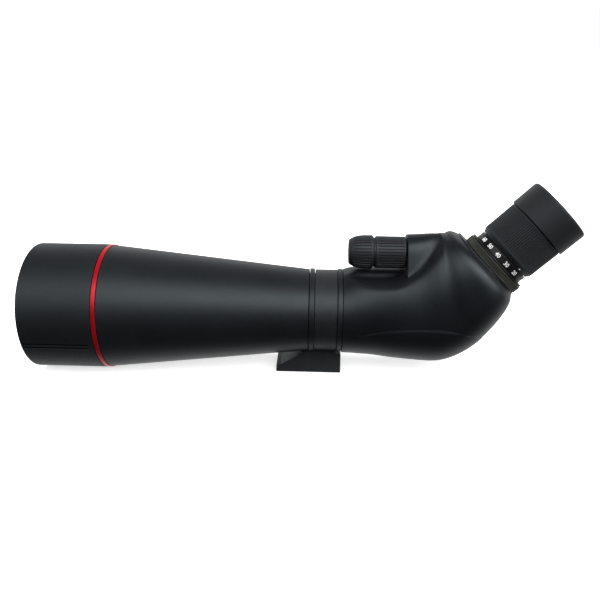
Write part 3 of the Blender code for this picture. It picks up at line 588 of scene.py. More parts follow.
def tube():
    outline = [
        (SPIGOT_X0, 42.0, 0.3), (SPIGOT_X0, SPIGOT_R, 0.4), (TUBE_X0, SPIGOT_R),
        (TUBE_X0, TUBE_R0, 0.35), (TUBE_X1, TUBE_R1, 0.45), (TUBE_X1, 28.2),
        (18.0, 28.2, 0.3), (18.0, 26.2), (-18.0, 26.2), (-150.0, 42.0)]
    shell = turned("tube_shell", fillet(outline), OPTICS, around(192))
    piece(shell, "barrel", "tube_paint", "main_tube")


def accent_band():
    outline = [(-164.3, 44.7), (-164.3, 46.9, 0.4), (-161.2, 46.9, 0.4), (-161.2, 44.7)]
    band = turned("accent_band", fillet(outline), OPTICS, around(192))
    piece(band, "barrel", "red_anodised", "accent_ring")


# ================================================================ hood
HOOD_R, HOOD_X0, HOOD_X1 = 47.0, -217.3, -164.7
HOOD_BORE = 45.05
# the sight mark: two fine grooves along the -Y side
MARK_ANGLE = math.radians(105.9)
MARK_GAP = 3.0
MARK_DEPTH = 0.7
MARK_X0, MARK_X1 = -216.2, -168.5
MARK_HALF = 1.5 / 2 / HOOD_R         # half a groove's width, as an angle
MARK_CENTRES = [MARK_ANGLE - MARK_GAP / 2 / HOOD_R, MARK_ANGLE + MARK_GAP / 2 / HOOD_R]
MARK_FLOOR = 0.62                    # flat share of a groove's width
THREADS, THREAD_X, THREAD_PITCH = 7, -209.0, 1.0


def hood_angles():
    """Even angles, with rows that follow the edges of the grooves instead near them."""
    even = {round(angle, 9) for angle in around(192)}
    angles = {angle for angle in even
              if not any(abs(angle - centre) < 2.2 * MARK_HALF for centre in MARK_CENTRES)}
    for centre in MARK_CENTRES:
        angles |= {centre + offset * MARK_HALF
                   for offset in (-1.5, -1, -MARK_FLOOR, 0, MARK_FLOOR, 1, 1.5)}
    return sorted(angles)


def hood_shape(along, radius, angle):
    if radius < 46.3 or not (MARK_X0 <= along <= MARK_X1):
        return radius
    depth = 0.0
    for centre in MARK_CENTRES:
        wall = smoothstep(MARK_FLOOR * MARK_HALF, MARK_HALF, abs(angle - centre))
        depth = max(depth, MARK_DEPTH * (1 - wall))
    return radius - depth


def hood():
    threads = []                     # fine rings inside the mouth
    for k in range(THREADS):
        x = THREAD_X - THREAD_PITCH * k
        threads += [(x, HOOD_BORE), (x - 0.35, 45.45), (x - 0.65, 45.45), (x - 1.0, HOOD_BORE)]
    rear = fillet([(-182.3, 45.0), (-182.3, 46.0), (-173.7, 46.0), (-173.7, 45.0),
                   (HOOD_X1, 45.0), (HOOD_X1, HOOD_R, 0.35)])
    side = [(MARK_X1 + 0.1, HOOD_R), (MARK_X1, HOOD_R), (MARK_X0, HOOD_R),
            (MARK_X0 - 0.05, HOOD_R)]
    mouth = fillet([(-180.0, HOOD_R), (HOOD_X0, HOOD_R, 0.6), (HOOD_X0, 45.5, 0.35),
                    (-200.0, HOOD_BORE)])[1:-1]
    shell = turned("hood_shell", rear + side + mouth + threads[::-1], OPTICS, hood_angles(),
                   shape=hood_shape, sharp=30.0)
    piece(shell, "hood", "hood_paint", "hood")


def hood_felt():
    outline = [(-182.0, 44.7), (-182.0, 45.7, 0.3), (-174.0, 45.7, 0.3), (-174.0, 44.7)]
    band = turned("hood_felt_band", fillet(outline), OPTICS, around(128))
    piece(band, "hood", "felt", "hood_felt")


# ================================================================ objective
OBJECTIVE_R = 39.7


def lens(name, node, profile, place, segments):
    obj = turned(name, profile, place, around(segments), closed=False, sharp=50)
    piece(obj, "barrel", "coated_glass", node)


def objective():
    cell = [(-202.0, 40.1, 0.3), (-202.0, 41.7, 0.3), (-180.0, 41.7), (-180.0, 37.5),
            (-182.8, 37.5), (-183.6, 40.1)]
    piece(turned("lens_cell", fillet(cell), OPTICS, around(160)),
          "barrel", "matt_black", "objective_cell")
    crown = lens_profile(-199.0, -189.4, 240.0, -240.0, OBJECTIVE_R)
    lens("objective_front", "crown_lens", crown, OPTICS, 160)
    flint = lens_profile(-188.0, -184.3, -290.0, -900.0, OBJECTIVE_R)
    lens("objective_back", "flint_lens", flint, OPTICS, 128)
    ring = [(-199.4, 37.6, 0.3), (-199.4, 39.8, 0.3), (-196.4, 39.8), (-196.4, 37.9)]
    piece(turned("lens_lock_ring", fillet(ring), OPTICS, around(160)),
          "barrel", "black_anodised", "lens_retaining_ring")


def baffle(node, x, hole, rim):
    """A disc with a knife-edged hole."""
    profile = [(x, hole + 0.3), (x + 0.6, hole), (x + 1.2, hole + 0.3), (x + 1.2, rim), (x, rim)]
    piece(turned(node + "_disc", profile, OPTICS, around(96)), "barrel", "matt_black", node)


# ================================================================ collar and foot
FOOT_X0, FOOT_X1, FOOT_HALF = -36.9, 12.3, 15.0
TOE = 5.2                            # height of the foot's front end
SPLAY = 0.22                         # how far each side leans in per unit of height
INSERT_X = -12.7
INSERT_PITCH = 1.27
FOOT_HOLES = ((INSERT_X, 5.0, 9.0), (-27.0, 2.2, 5.0))      # x, radius, depth


def flange(node, start, end):
    outline = [(start, 28.5), (start, 31.6, 0.45), (end, 31.6, 0.45), (end, 28.5)]
    piece(turned(node + "_ring", fillet(outline), OPTICS, around(192)),
          "barrel", "tube_paint", node)


def foot_block():
    """The foot's side outline (x, z), drawn out across Y and leaned in towards the top."""
    outline = fillet([
        (FOOT_X0, 0.0, 0.7), (FOOT_X1, 0.0, 0.7), (FOOT_X1, 13.5), (8.0, 13.9), (8.0, 30.0),
        (-8.0, 30.0), (-8.3, 19.4, 0.6), (FOOT_X0 + 3.0, TOE, 1.2), (FOOT_X0, TOE, 0.7)], 3)
    mesh = bmesh.new()
    side = [mesh.verts.new((x * MM, -FOOT_HALF * MM, z * MM)) for x, z in outline]
    drawn = bmesh.ops.extrude_face_region(mesh, geom=[mesh.faces.new(side)])
    moved = [item for item in drawn["geom"] if isinstance(item, bmesh.types.BMVert)]
    bmesh.ops.translate(mesh, vec=(0, 2 * FOOT_HALF * MM, 0), verts=moved)
    for vert in mesh.verts:
        vert.co.y = math.copysign(FOOT_HALF * MM - SPLAY * vert.co.z, vert.co.y)
    return plain_solid("collar_body", mesh)


def collar():
    body = foot_block()
    drum = [(-8.2, 0), (-8.2, 30.5), (-8.08, 30.78), (-7.8, 30.9), (7.8, 30.9), (8.08, 30.78),
            (8.2, 30.5), (8.2, 0)]
    combine(body, turned_solid(drum, OPTICS, 180), "UNION")
    boss = [(27.0, 0), (27.0, 6.8), (33.9, 6.8), (34.3, 6.6), (34.5, 6.2), (34.5, 0)]
    combine(body, turned_solid(boss, LOCK_KNOB, 64), "UNION")
    # room for the tube's cone, the flanges and the rear housing
    bore = [(-60, 0), (-60, cone_radius(-60) + 1.0), (-12.6, 32.0), (-8.32, 32.0), (-8.32, 29.2),
            (8.32, 29.2), (8.32, 34.0), (20, 34.0), (20, 0)]
    combine(body, turned_solid(bore, OPTICS, 180), "DIFFERENCE")
    for x, radius, depth in FOOT_HOLES:
        hole = cylinder(-1, depth, radius, Matrix.Translation((x, 0, 0)), 40)
        combine(body, hole, "DIFFERENCE")
    combine(body, cylinder(25, 40, 3.0, LOCK_KNOB, 32), "DIFFERENCE")
    bevel = body.modifiers.new("edges", "BEVEL")
    bevel.width = 0.00035
    bevel.segments = 2
    bevel.limit_method = "ANGLE"
    bevel.angle_limit = math.radians(40)
    bevel.use_clamp_overlap = True
    bevel.harden_normals = False
    smooth(body, 35)
    normals = body.modifiers.new("weighted", "WEIGHTED_NORMAL")
    normals.keep_sharp = True
    piece(body, "collar", "collar_cast", "tripod_collar")


def thread_insert():
    """Threaded bush in the underside of the foot."""
    def thread(along, radius, angle):
        if radius < 3.6 and 0.9 < along < 8.2:
            return radius + 0.22 * math.cos(2 * math.pi * along / INSERT_PITCH - angle)
        return radius
    outline = fillet([(0.4, 3.4, 0.2), (0.4, 4.7, 0.25), (8.6, 4.7), (8.6, 3.4)])
    bush = turned("thread_insert", in_steps(outline, 0.45),
                  Matrix.Translation((INSERT_X, 0, 0)), around(64), shape=thread)
    piece(bush, "collar", "steel", "tripod_insert")


def lock_knob():
    """Six soft lobes and a shallow dish in the +Y end."""
    def lobes(along, radius, angle):
        return radius + (0.75 * math.cos(6 * angle) - 0.35) * smoothstep(5.2, 8.0, radius)
    outline = fillet([
        (35.0, 3.0, 0.2), (35.0, 7.6, 0.6), (36.6, 8.9, 0.8), (46.4, 9.2, 0.9),
        (48.0, 7.4, 0.8), (48.0, 4.6, 0.4), (47.2, 4.2, 0.3), (47.2, 0.0)], 5)
    outer = [point for point in outline if point[1] > 0.0]
    # the stepped outline runs back down its bore, then again from the dish across the end
    profile = in_steps(outer, 1.0)[:-1] + [outer[-1], (47.2, 0.0), (45.4, 0.0), (45.4, 3.0)]
    knob = turned("lock_knob_grip", profile, LOCK_KNOB, around(192), shape=lobes)
    piece(knob, "lock_knob", "knob_plastic", "collar_lock_knob")


# ================================================================ rear housing
# A station is millimetres along X from the start of the bend where it is negative,
# and degrees round the bend where it is positive. Theta is measured from straight up.
PIVOT_X, PIVOT_Z = 80.0, 75.5        # centre of the bend; Z is above the optical axis
SEAT_RHO = 54.2                      # distance from that centre at the end of the bend
BEND = 45.0
LIP_D, SEAT_D = 52.6, 53.7           # seat's lip and face, along the eyepiece axis
SEAT_BORE, HEAD_BORE = 19.2, 29.0
HEAD_X = 12.6
HEAD_S = HEAD_X - PIVOT_X
POD_X, POD_R = 57.2, 13.5            # front face and inner reference radius of the knob pod
POD_S = POD_X - PIVOT_X
POD_EDGE = 0.9                       # rounding of the pod's front edge
WALL, MIN_WALL = 2.5, 1.8
FLARE = math.radians(20.0)           # how far the pod's sides lean out
SEAM_H = 0.40                        # how proud the thicker lower armour panel stands
N_UP, N_LOW = 84, 40                 # points above and below the seam, each side

# Tables of (station, millimetres). Radius below and at the sides:
BELLY = ((-67.4, 32.0), (-50.0, 32.3), (-30.0, 34.4), (-12.0, 35.8), (0.0, 36.3), (12.0, 35.4),
         (24.0, 34.1), (34.0, 32.6), (41.0, 30.0), (45.0, 25.4))
# radius straight up, outside
CROWN = ((-67.4, 31.6), (-52.0, 37.0), (-42.0, 40.2), (-32.0, 43.8), (-22.0, 46.8),
         (-17.0, 48.8), (-12.0, 51.6), (-7.0, 56.2), (-2.0, 60.7), (0.0, 61.7), (2.0, 62.0),
         (12.0, 57.7), (22.0, 50.2), (31.0, 43.9), (37.0, 39.6), (42.0, 35.8), (45.0, 33.0))
# radius straight up for the cavity, before the wall is taken off
CAVITY = ((-67.4, 31.2), (-50.0, 32.6), (-34.0, 33.6), (-23.0, 34.6), (-17.5, 38.4),
          (-12.0, 45.0), (-4.0, 56.0), (2.0, 61.6), (12.0, 58.2), (22.0, 51.0), (31.0, 44.2),
          (37.0, 38.6), (42.0, 31.5), (45.0, 25.4))
# height of the ledge the knobs and the pod stand on
LEDGE = ((-67.4, 31.6), (-52.0, 31.2), (-40.0, 30.8), (-32.0, 31.4), (-27.0, 33.0),
         (-22.0, 35.8), (-17.0, 39.2), (-12.0, 43.4), (-7.0, 49.0), (-2.0, 56.0), (3.0, 64.0),
         (12.0, 84.0))
# half-width and top of the pod
POD = ((-22.8, 13.5), (-17.0, 13.0), (-12.0, 12.0), (-7.0, 10.4), (-2.0, 8.2), (4.0, 5.4),
       (12.0, 2.5))
POD_TOP = ((-22.8, 60.8), (-12.0, 61.5), (-4.0, 62.3), (0.0, 62.2), (6.0, 59.0), (12.0, 50.0))
# edge of the lower armour panel: station, theta in degrees
SEAM = ((-67.4, 112.0), (-60.0, 105.5), (-50.0, 99.0), (-40.0, 93.5), (-30.0, 90.5),
        (-20.0, 88.5), (-10.0, 87.5), (0.0, 87.5), (5.0, 90.0), (10.0, 97.5), (15.0, 108.5),
        (19.0, 128.0), (22.0, 150.0), (24.0, 168.0), (45.0, 170.0))
CAVITY_STATIONS = (HEAD_S, -50.0, -28.0, POD_S + WALL + 0.28, POD_S + WALL + 0.32, -10.0, -4.0,
                   2.0, 12.0, 24.0, 34.0, 40.5)


def half_ellipses(station, theta, top, wall):
    """Side and vertical half-axes of the section, and its radius at theta."""
    side = curve(BELLY, station) - wall
    upright = curve(top if math.cos(theta) > 0 else BELLY, station) - wall
    radius = 1.0 / math.sqrt((math.sin(theta) / side) ** 2 + (math.cos(theta) / upright) ** 2)
    return side, upright, radius


def circle_reach(centre, radius, theta):
    """Distance from the axis to the far side of a circle that stands centre above it."""
    inside = max(0.0, radius * radius - (centre * math.sin(theta)) ** 2)
    return centre * math.cos(theta) + math.sqrt(inside)


def cavity_radius(station, theta):
    radius = half_ellipses(station, theta, CAVITY, WALL)[2]
    if POD_S + (WALL + 0.3) - 1e-6 <= station < 0.0:
        pod_r = POD_R - 1.5 * smoothstep(-14.0, 0.0, station) - WALL
        tangent = math.asin(pod_r / KNOB_Z)
        if theta < tangent:
            pod = circle_reach(KNOB_Z, pod_r, theta)
        else:
            pod = math.sqrt(KNOB_Z ** 2 - pod_r ** 2) - 3.2 * math.degrees(theta - tangent)
        radius = smax(radius, pod, 3.0 * smoothstep(0.0, -3.0, station) + 0.01)
    return radius


def pod_radius(station, theta):
    """Round top, then straight flared sides."""
    half = curve(POD, station)
    centre = curve(POD_TOP, station) - half
    turn = math.atan2(half * math.cos(FLARE), centre + half * math.sin(FLARE))
    if theta < turn:
        return circle_reach(centre, half, theta)
    return ((centre * math.sin(FLARE) + half)
            / (math.cos(FLARE) * math.sin(theta) + math.sin(FLARE) * math.cos(theta)))


def raw_radius(station, theta):
    """The outside before it is eased."""
    side, upright, radius = half_ellipses(station, theta, CROWN, 0.0)
    if station > 4.0:
        # towards the seat the upper half fills out round the eyepiece's lock ring
        fall = 1.0 - smoothstep(12.0, 90.0, math.degrees(theta))
        shoulder = side + (upright - side) * fall
        fill = 0.55 * smoothstep(4.0, 26.0, station) + 0.45 * smoothstep(24.0, 45.0, station)
        radius = radius + fill * (shoulder - radius)
    if math.cos(theta) > 0.05 and station < 12.0:
        blend = 1.0 + 6.5 * smoothstep(-64.0, -48.0, station)
        radius = smin(radius, curve(LEDGE, station) / math.cos(theta), blend)
    if station < POD_S - 1e-6:
        plateau = 34.4 - 0.5 * max(0.0, math.degrees(theta) - 13.0)
        rise = smoothstep(POD_S - 46.0, POD_S - 34.0, station)
        return radius + rise * (smax(radius, plateau, 2.6) - radius)
    if station < 12.0 and theta < 1.2:
        blend = 0.8 + 5.2 * smoothstep(-22.8, -9.0, station)
        radius = smax(radius, pod_radius(station, theta), blend)
    return radius


# weights of the neighbours an eased radius is averaged over
ALONG_WEIGHTS = ((-1.0, 1.0), (-0.5, 2.0), (0.0, 2.5), (0.5, 2.0), (1.0, 1.0))
AROUND_WEIGHTS = ((-0.045, 1.0), (0.0, 2.0), (0.045, 1.0))      # radians, weight


def eased(station, theta, low, high):
    """raw_radius averaged over a few millimetres, within the stations low to high."""
    reach = min(3.4, 0.5 * (high - station) + 0.05, 0.5 * (station - low) + 0.05)
    total = weight = 0.0
    for step, along_weight in ALONG_WEIGHTS:
        near = min(high, max(low, station + step * reach))
        for turn, around_weight in (AROUND_WEIGHTS if theta < 1.3 else ((0.0, 1.0),)):
            total += along_weight * around_weight * raw_radius(near, abs(theta + turn))
            weight += along_weight * around_weight
    return total / weight


def skin_radius(station, theta):
    """The outer skin: eased, apart from the pod's crisp front edge."""
    free = smoothstep(0.42, 0.72, theta)
    if abs(station - POD_S) > 7.0 or free >= 1.0:
        return eased(station, theta, HEAD_S, BEND)
    if station < POD_S:
        radius = eased(station, theta, HEAD_S, POD_S - 0.02)
    else:
        edge_end = POD_S + POD_EDGE
        radius = eased(max(station, edge_end), theta, edge_end, BEND)
        left = max(0.0, POD_EDGE - (station - POD_S))
        drop = POD_EDGE - math.sqrt(POD_EDGE ** 2 - left * left)
        radius -= drop * 0.7 * smoothstep(36.0, 40.0, radius)
    if free > 0.0:
        radius += free * (eased(station, theta, HEAD_S, BEND) - radius)
    return radius


def housing_point(station, theta, radius, sign):
    y = sign * radius * math.sin(theta)
    if station <= 0:
        return (PIVOT_X + station, y, AXIS_Z + radius * math.cos(theta))
    rho = PIVOT_Z + (SEAT_RHO - PIVOT_Z) * smoothstep(0.0, BEND, station)
    distance = rho - radius * math.cos(theta)
    angle = math.radians(station)
    return (PIVOT_X + distance * math.sin(angle), y,
            AXIS_Z + PIVOT_Z - distance * math.cos(angle))


def half_angles(station):
    """Angles from straight up to straight down, with two rows that follow the seam."""
    seam = math.radians(curve(SEAM, station))
    gap = 0.36 / 34.0
    above = []
    for k in range(N_UP):
        part = k / (N_UP - 1)
        above.append((seam - gap) * (0.55 * part + 0.45 * part * part))
    below = [seam + gap + (math.pi - seam - gap) * k / (N_LOW - 1) for k in range(N_LOW)]
    return above, below


def mirrored_ring(station, half):
    """Down the -Y side and back up the +Y side; half is (theta, radius) points."""
    return ([housing_point(station, theta, radius, -1.0) for theta, radius in half]
            + [housing_point(station, theta, radius, 1.0)
               for theta, radius in reversed(half[1:-1])])


def outer_ring(station):
    above, below = half_angles(station)
    proud = (SEAM_H * smoothstep(-64.0, -50.0, station)
             * (1 - smoothstep(23.2, 24.6, station)))
    half = [(theta, skin_radius(station, theta)) for theta in above]
    half += [(theta, skin_radius(station, theta) + proud) for theta in below]
    return mirrored_ring(station, half)


def inner_ring(station):
    above, below = half_angles(station)
    return mirrored_ring(station, [
        (theta, min(cavity_radius(station, theta), skin_radius(station, theta) - MIN_WALL))
        for theta in above + below])


def round_angles():
    above, below = half_angles(0.0)
    full = above + below
    return full + [-theta for theta in reversed(full[1:-1])]


def seat_bore_ring(distance):
    """Circle round the eyepiece axis."""
    ring = []
    for theta in round_angles():
        rise = SEAT_BORE * math.cos(theta)
        ring.append((ELBOW_X + distance * C45 - rise * C45, -SEAT_BORE * math.sin(theta),
                     AXIS_Z + distance * C45 + rise * C45))
    return ring


def head_bore_ring(x):
    """Circle round the optical axis."""
    return [(x, -HEAD_BORE * math.sin(theta), AXIS_Z + HEAD_BORE * math.cos(theta))
            for theta in round_angles()]


def outer_stations():
    """Closer at the head, the pod's front edge and the seat."""
    edge = POD_S + POD_EDGE
    stations = [HEAD_S + 0.35 * k for k in range(3)]
    stations += [HEAD_S + 1.0 + (POD_S - 0.02 - HEAD_S - 1.0) * k / 40 for k in range(41)]
    stations += [POD_S + step for step in (0.02, 0.08, 0.2, 0.4, 0.65, POD_EDGE)]
    stations += [edge + (-POD_S - POD_EDGE) * k / 34 for k in range(1, 35)]
    stations += [BEND * k / 84 for k in range(1, 84)] + [44.7, 44.9, BEND]
    return sorted({round(station, 5) for station in stations})


def rear_housing():
    outer = [outer_ring(station) for station in outer_stations()]
    head, lip = outer[0], outer[-1]
    # the lip is carried straight on to the seat's face and its edge drawn in
    step = (SEAT_D - LIP_D) * C45
    middle_x = ELBOW_X + LIP_D * C45
    middle_z = AXIS_Z + LIP_D * C45
    outer.append([(x + (step - 0.25), y, z + (step - 0.25)) for x, y, z in lip])
    outer.append([(middle_x + (x - middle_x) * 0.988 + step, y * 0.988,
                   middle_z + (z - middle_z) * 0.988 + step) for x, y, z in lip])
    head_face = [(HEAD_X, y * 0.99, AXIS_Z + (z - AXIS_Z) * 0.99) for x, y, z in head]
    cavity = [inner_ring(station) for station in CAVITY_STATIONS]
    cavity[0] = [(19.01, y, z) for x, y, z in cavity[0]]
    # down the seat's bore, over the outside to the head, in at its bore and back inside
    chain = [seat_bore_ring(SEAT_D - 6.0), seat_bore_ring(SEAT_D)] + outer[::-1]
    chain += [head_face, head_bore_ring(HEAD_X), head_bore_ring(19.0)] + cavity
    shell = smooth_object("housing_shell", bridge(chain), sharp=32.0, weighted=False)
    combine(shell, cylinder(POD_X - 3, POD_X + 5, 7.0, KNOBS, 48), "DIFFERENCE")
    smooth(shell, 32)
    piece(shell, "barrel", "armour", "rear_housing")


# ================================================================ focus knobs
KNOB_ANGLES = around(32 * 14)        # 14 points for each of 32 ribs
COARSE_X0, COARSE_X1, COARSE_R = 34.9, 56.4, 11.7
FINE_X0, FINE_X1, FINE_R = 15.6, 33.1, 12.3
# rounded nose of the fine knob: distance from its front end, radius
NOSE = ((0.0, 8.0), (0.12, 8.5), (0.5, 9.0), (1.5, 9.75), (3.0, 10.6), (4.5, 11.2),
        (6.5, 11.75), (8.5, 12.05), (11.0, 12.25), (13.5, FINE_R))


def coarse_knob():
    outline = fillet([
        (COARSE_X0 - 1.45, 2.4), (COARSE_X0 - 1.45, 10.6, 0.2), (COARSE_X0, 10.6),
        (COARSE_X0, COARSE_R, 0.9), (COARSE_X1, COARSE_R, 0.9), (COARSE_X1, 4.2),
        (62.8, 4.2), (62.8, 2.4)], 5)
    ribs = ribbed(count=32, depth=0.75, share=0.30, edge=0.16,
                  start=COARSE_X0 + 1.0, end=COARSE_X1 - 1.0, fade=0.9)
    knob = turned("coarse_knob_grip", in_bands(outline, COARSE_X0, COARSE_X1, 30, 10.0),
                  KNOBS, KNOB_ANGLES, shape=ribs)
    piece(knob, "coarse_focus", "knob_plastic", "coarse_knob")


def fine_knob():
    def parts(a, b):
        run = abs(b[0] - a[0])
        return int(run / 0.6) + 1 if min(a[1], b[1]) > 8.4 and run > 0.7 else 1
    dish = [(FINE_X0 + 0.6, 0.0), (FINE_X0 + 0.6, 6.6), (FINE_X0 + 0.2, 7.2)]
    nose = [(FINE_X0 + offset, radius) for offset, radius in NOSE]
    back_x = FINE_X1 - 8.0
    back = fillet([(FINE_X0 + 14.0, FINE_R), (FINE_X1, FINE_R, 0.8), (FINE_X1, 2.4),
                   (back_x, 2.4), (back_x, 2.0)], 5)
    profile = refine(dish + nose + back + [(back_x, 0.0)], parts)
    ribs = ribbed(count=32, depth=0.7, share=0.28, edge=0.16,
                  start=FINE_X0 + 2.6, end=FINE_X1 - 1.1, fade=1.6)
    knob = turned("fine_knob_grip", profile, KNOBS, KNOB_ANGLES, shape=ribs, closed=False)
    piece(knob, "fine_focus", "knob_plastic", "fine_knob")


# ================================================================ eyepiece
# Distances run along the eyepiece axis from the elbow.
LOCK_D0, LOCK_D1, LOCK_R = 54.0, 59.6, 25.6
SCALE_D0, SCALE_D1, SCALE_R = 61.4, 66.9, 22.1
ZOOM_D0, ZOOM_D1, ZOOM_R = 67.2, 94.9, 23.7
CUP_D0, CUP_D1, CUP_R = 95.3, 116.1, 24.9
INDEX_ANGLE = 33.0                   # the index dot stands against the last number
ZOOM_NUMBERS = (("60", -57.0), ("50", -36.0), ("40", -14.0), ("30", 9.0), ("20", INDEX_ANGLE))


def lock_ring():
    outline = fillet([(LOCK_D0, 19.3), (LOCK_D0, LOCK_R, 0.5), (LOCK_D1, LOCK_R, 0.5),
                      (LOCK_D1, 19.3)])
    knurl = ribbed(count=132, depth=0.42, share=0.42, edge=0.34,
                   start=LOCK_D0 + 0.5, end=LOCK_D1 - 0.5, fade=0.4)
    ring = turned("lock_ring_knurled", in_bands(outline, LOCK_D0, LOCK_D1, 10, 24.0),
                  EYEPIECE, around(132 * 6), shape=knurl)
    piece(ring, "eyepiece_lock", "knurl_black", "eyepiece_lock_ring")


def eyepiece_core():
    outline = [
        (40.6, 14.2), (40.6, 16.6, 0.3), (58.5, 16.6), (58.5, 18.4), (59.9, 18.4),
        (59.9, 25.1, 0.45), (61.1, 25.1, 0.45), (61.1, 17.2), (SCALE_D1, 17.2),
        (SCALE_D1, 15.6), (108.0, 15.6), (108.0, 14.2)]
    core = turned("eyepiece_core", fillet(outline), EYEPIECE, around(160))
    piece(core, "barrel", "black_anodised", "eyepiece_barrel")


def scale_band():
    outline = [(SCALE_D0, 17.5), (SCALE_D0, SCALE_R, 0.3), (SCALE_D1, SCALE_R, 0.35),
               (SCALE_D1, 17.5)]
    band = turned("scale_band", fillet(outline), EYEPIECE, around(192))
    piece(band, "barrel", "black_anodised", "scale_ring")


def zoom_ring():
    outline = fillet([
        (ZOOM_D0, 17.9), (ZOOM_D0, 21.9, 0.5), (ZOOM_D0 + 2.6, 23.4, 0.8),
        (ZOOM_D0 + 3.6, ZOOM_R, 0.6), (ZOOM_D1, ZOOM_R, 0.5), (ZOOM_D1, 17.9)])
    ribs = ribbed(count=90, depth=0.60, share=0.36, edge=0.26,
                  start=ZOOM_D0 + 3.6, end=ZOOM_D1 - 1.0, fade=1.0)
    ring = turned("zoom_ring_grip", in_bands(outline, ZOOM_D0, ZOOM_D1, 34, 23.0),
                  EYEPIECE, around(90 * 8), shape=ribs)
    piece(ring, "zoom", "rubber", "zoom_ring")


def eyecup():
    outline = fillet([(CUP_D0, 19.4), (CUP_D0, CUP_R, 0.5), (CUP_D1 - 0.2, CUP_R, 1.9),
                      (CUP_D1, 20.4, 0.8), (CUP_D1 - 5.0, 19.4)], 7)
    cup = turned("eyecup_rubber", in_steps(outline, 3.0), EYEPIECE, around(160))
    piece(cup, "eyecup", "rubber", "eyecup")


def eye_lens():
    bezel = [(104.6, 12.9), (104.6, 13.8), (108.4, 13.8), (108.4, 18.6), (109.4, 18.6, 0.3),
             (109.4, 13.6, 0.3), (108.6, 12.9)]
    piece(turned("eye_lens_bezel", fillet(bezel), EYEPIECE, around(128)),
          "barrel", "black_anodised", "eye_lens_ring")
    profile = lens_profile(99.6, 105.6, 80.0, -40.0, 13.6)
    lens("eye_lens_glass", "eye_lens", profile, EYEPIECE, 96)


def wrap_on_ring(obj, distance, radius, degrees):
    """Wraps a flat mesh in mm (x along the ring, y towards the eyecup) on to the eyepiece."""
    for vert in obj.data.vertices:
        angle = math.radians(degrees) + vert.co.x / radius
        reach = radius + vert.co.z
        point = Vector((reach * math.cos(angle), reach * math.sin(angle), distance + vert.co.y))
        vert.co = (EYEPIECE @ point) * MM


def zoom_number(text, degrees):
    font = bpy.data.curves.new("n" + text, "FONT")
    font.body = text
    font.align_x = "CENTER"
    font.align_y = "CENTER"
    font.size = 2.8 / 0.70           # digit height over its share of the font size
    font.offset = 0.012 * font.size
    font.extrude = 0.04
    font.resolution_u = 6
    flat = bpy.data.objects.new("tmp", font)
    bpy.context.scene.collection.objects.link(flat)
    data = evaluated_mesh(flat)
    bpy.data.objects.remove(flat)
    obj = bpy.data.objects.new("zoom_number_" + text, data)
    bpy.context.scene.collection.objects.link(obj)
    wrap_on_ring(obj, 63.9, SCALE_R, degrees)
    set_material(obj, "print")
    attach(obj, "barrel")


def index_dot():
    """A low dome on the zoom ring's cone, with its base sunk into the rubber."""
    radius, height, base = 0.62, 0.14, -0.25
    rings = []
    for rise in (0.0, 0.35, 0.7, 1.05, 1.35):
        rings.append([(radius * math.cos(rise) * math.cos(angle),
                       radius * math.cos(rise) * math.sin(angle),
                       height * math.sin(rise)) for angle in around(24)])
    rings.insert(0, [(x, y, base) for x, y, z in rings[0]])
    mesh = bridge(rings, close=False, caps=True, scale=1.0)
    bmesh.ops.recalc_face_normals(mesh, faces=mesh.faces)
    dot = to_object("index_dot", mesh)
    wrap_on_ring(dot, 68.5, 22.65, INDEX_ANGLE)
    dot.data.shade_smooth()
    set_material(dot, "print")
    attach(dot, "zoom")


# ================================================================ stage, light, camera
def floor():
    """A pale, faintly glowing ground that throws nothing back on to the scope."""
    mesh = bmesh.new()
    bmesh.ops.create_grid(mesh, x_segments=8, y_segments=8, size=12.0)
    ground = to_object("floor", mesh)
    ground.location = (0, 0, -0.0004)
    look = Look("floor_v")
    colour = (0.90, 0.90, 0.90)
    look.set("Base Color", look.mix(look.noise(scale=6.0), shade(colour, 0.995), colour))
    look.set("Roughness", 0.85)
    look.set("Specular IOR Level", 0.0)
    glow = look.node("ShaderNodeEmission")
    glow.inputs["Strength"].default_value = 0.62
    total = look.node("ShaderNodeAddShader")
    look.put(total.inputs[0], look.principled.outputs[0])
    look.put(total.inputs[1], glow.outputs[0])
    look.put(look.surface, total.outputs[0])
    ground.data.materials.append(look.material)
    ground.visible_glossy = False
    ground.visible_diffuse = False


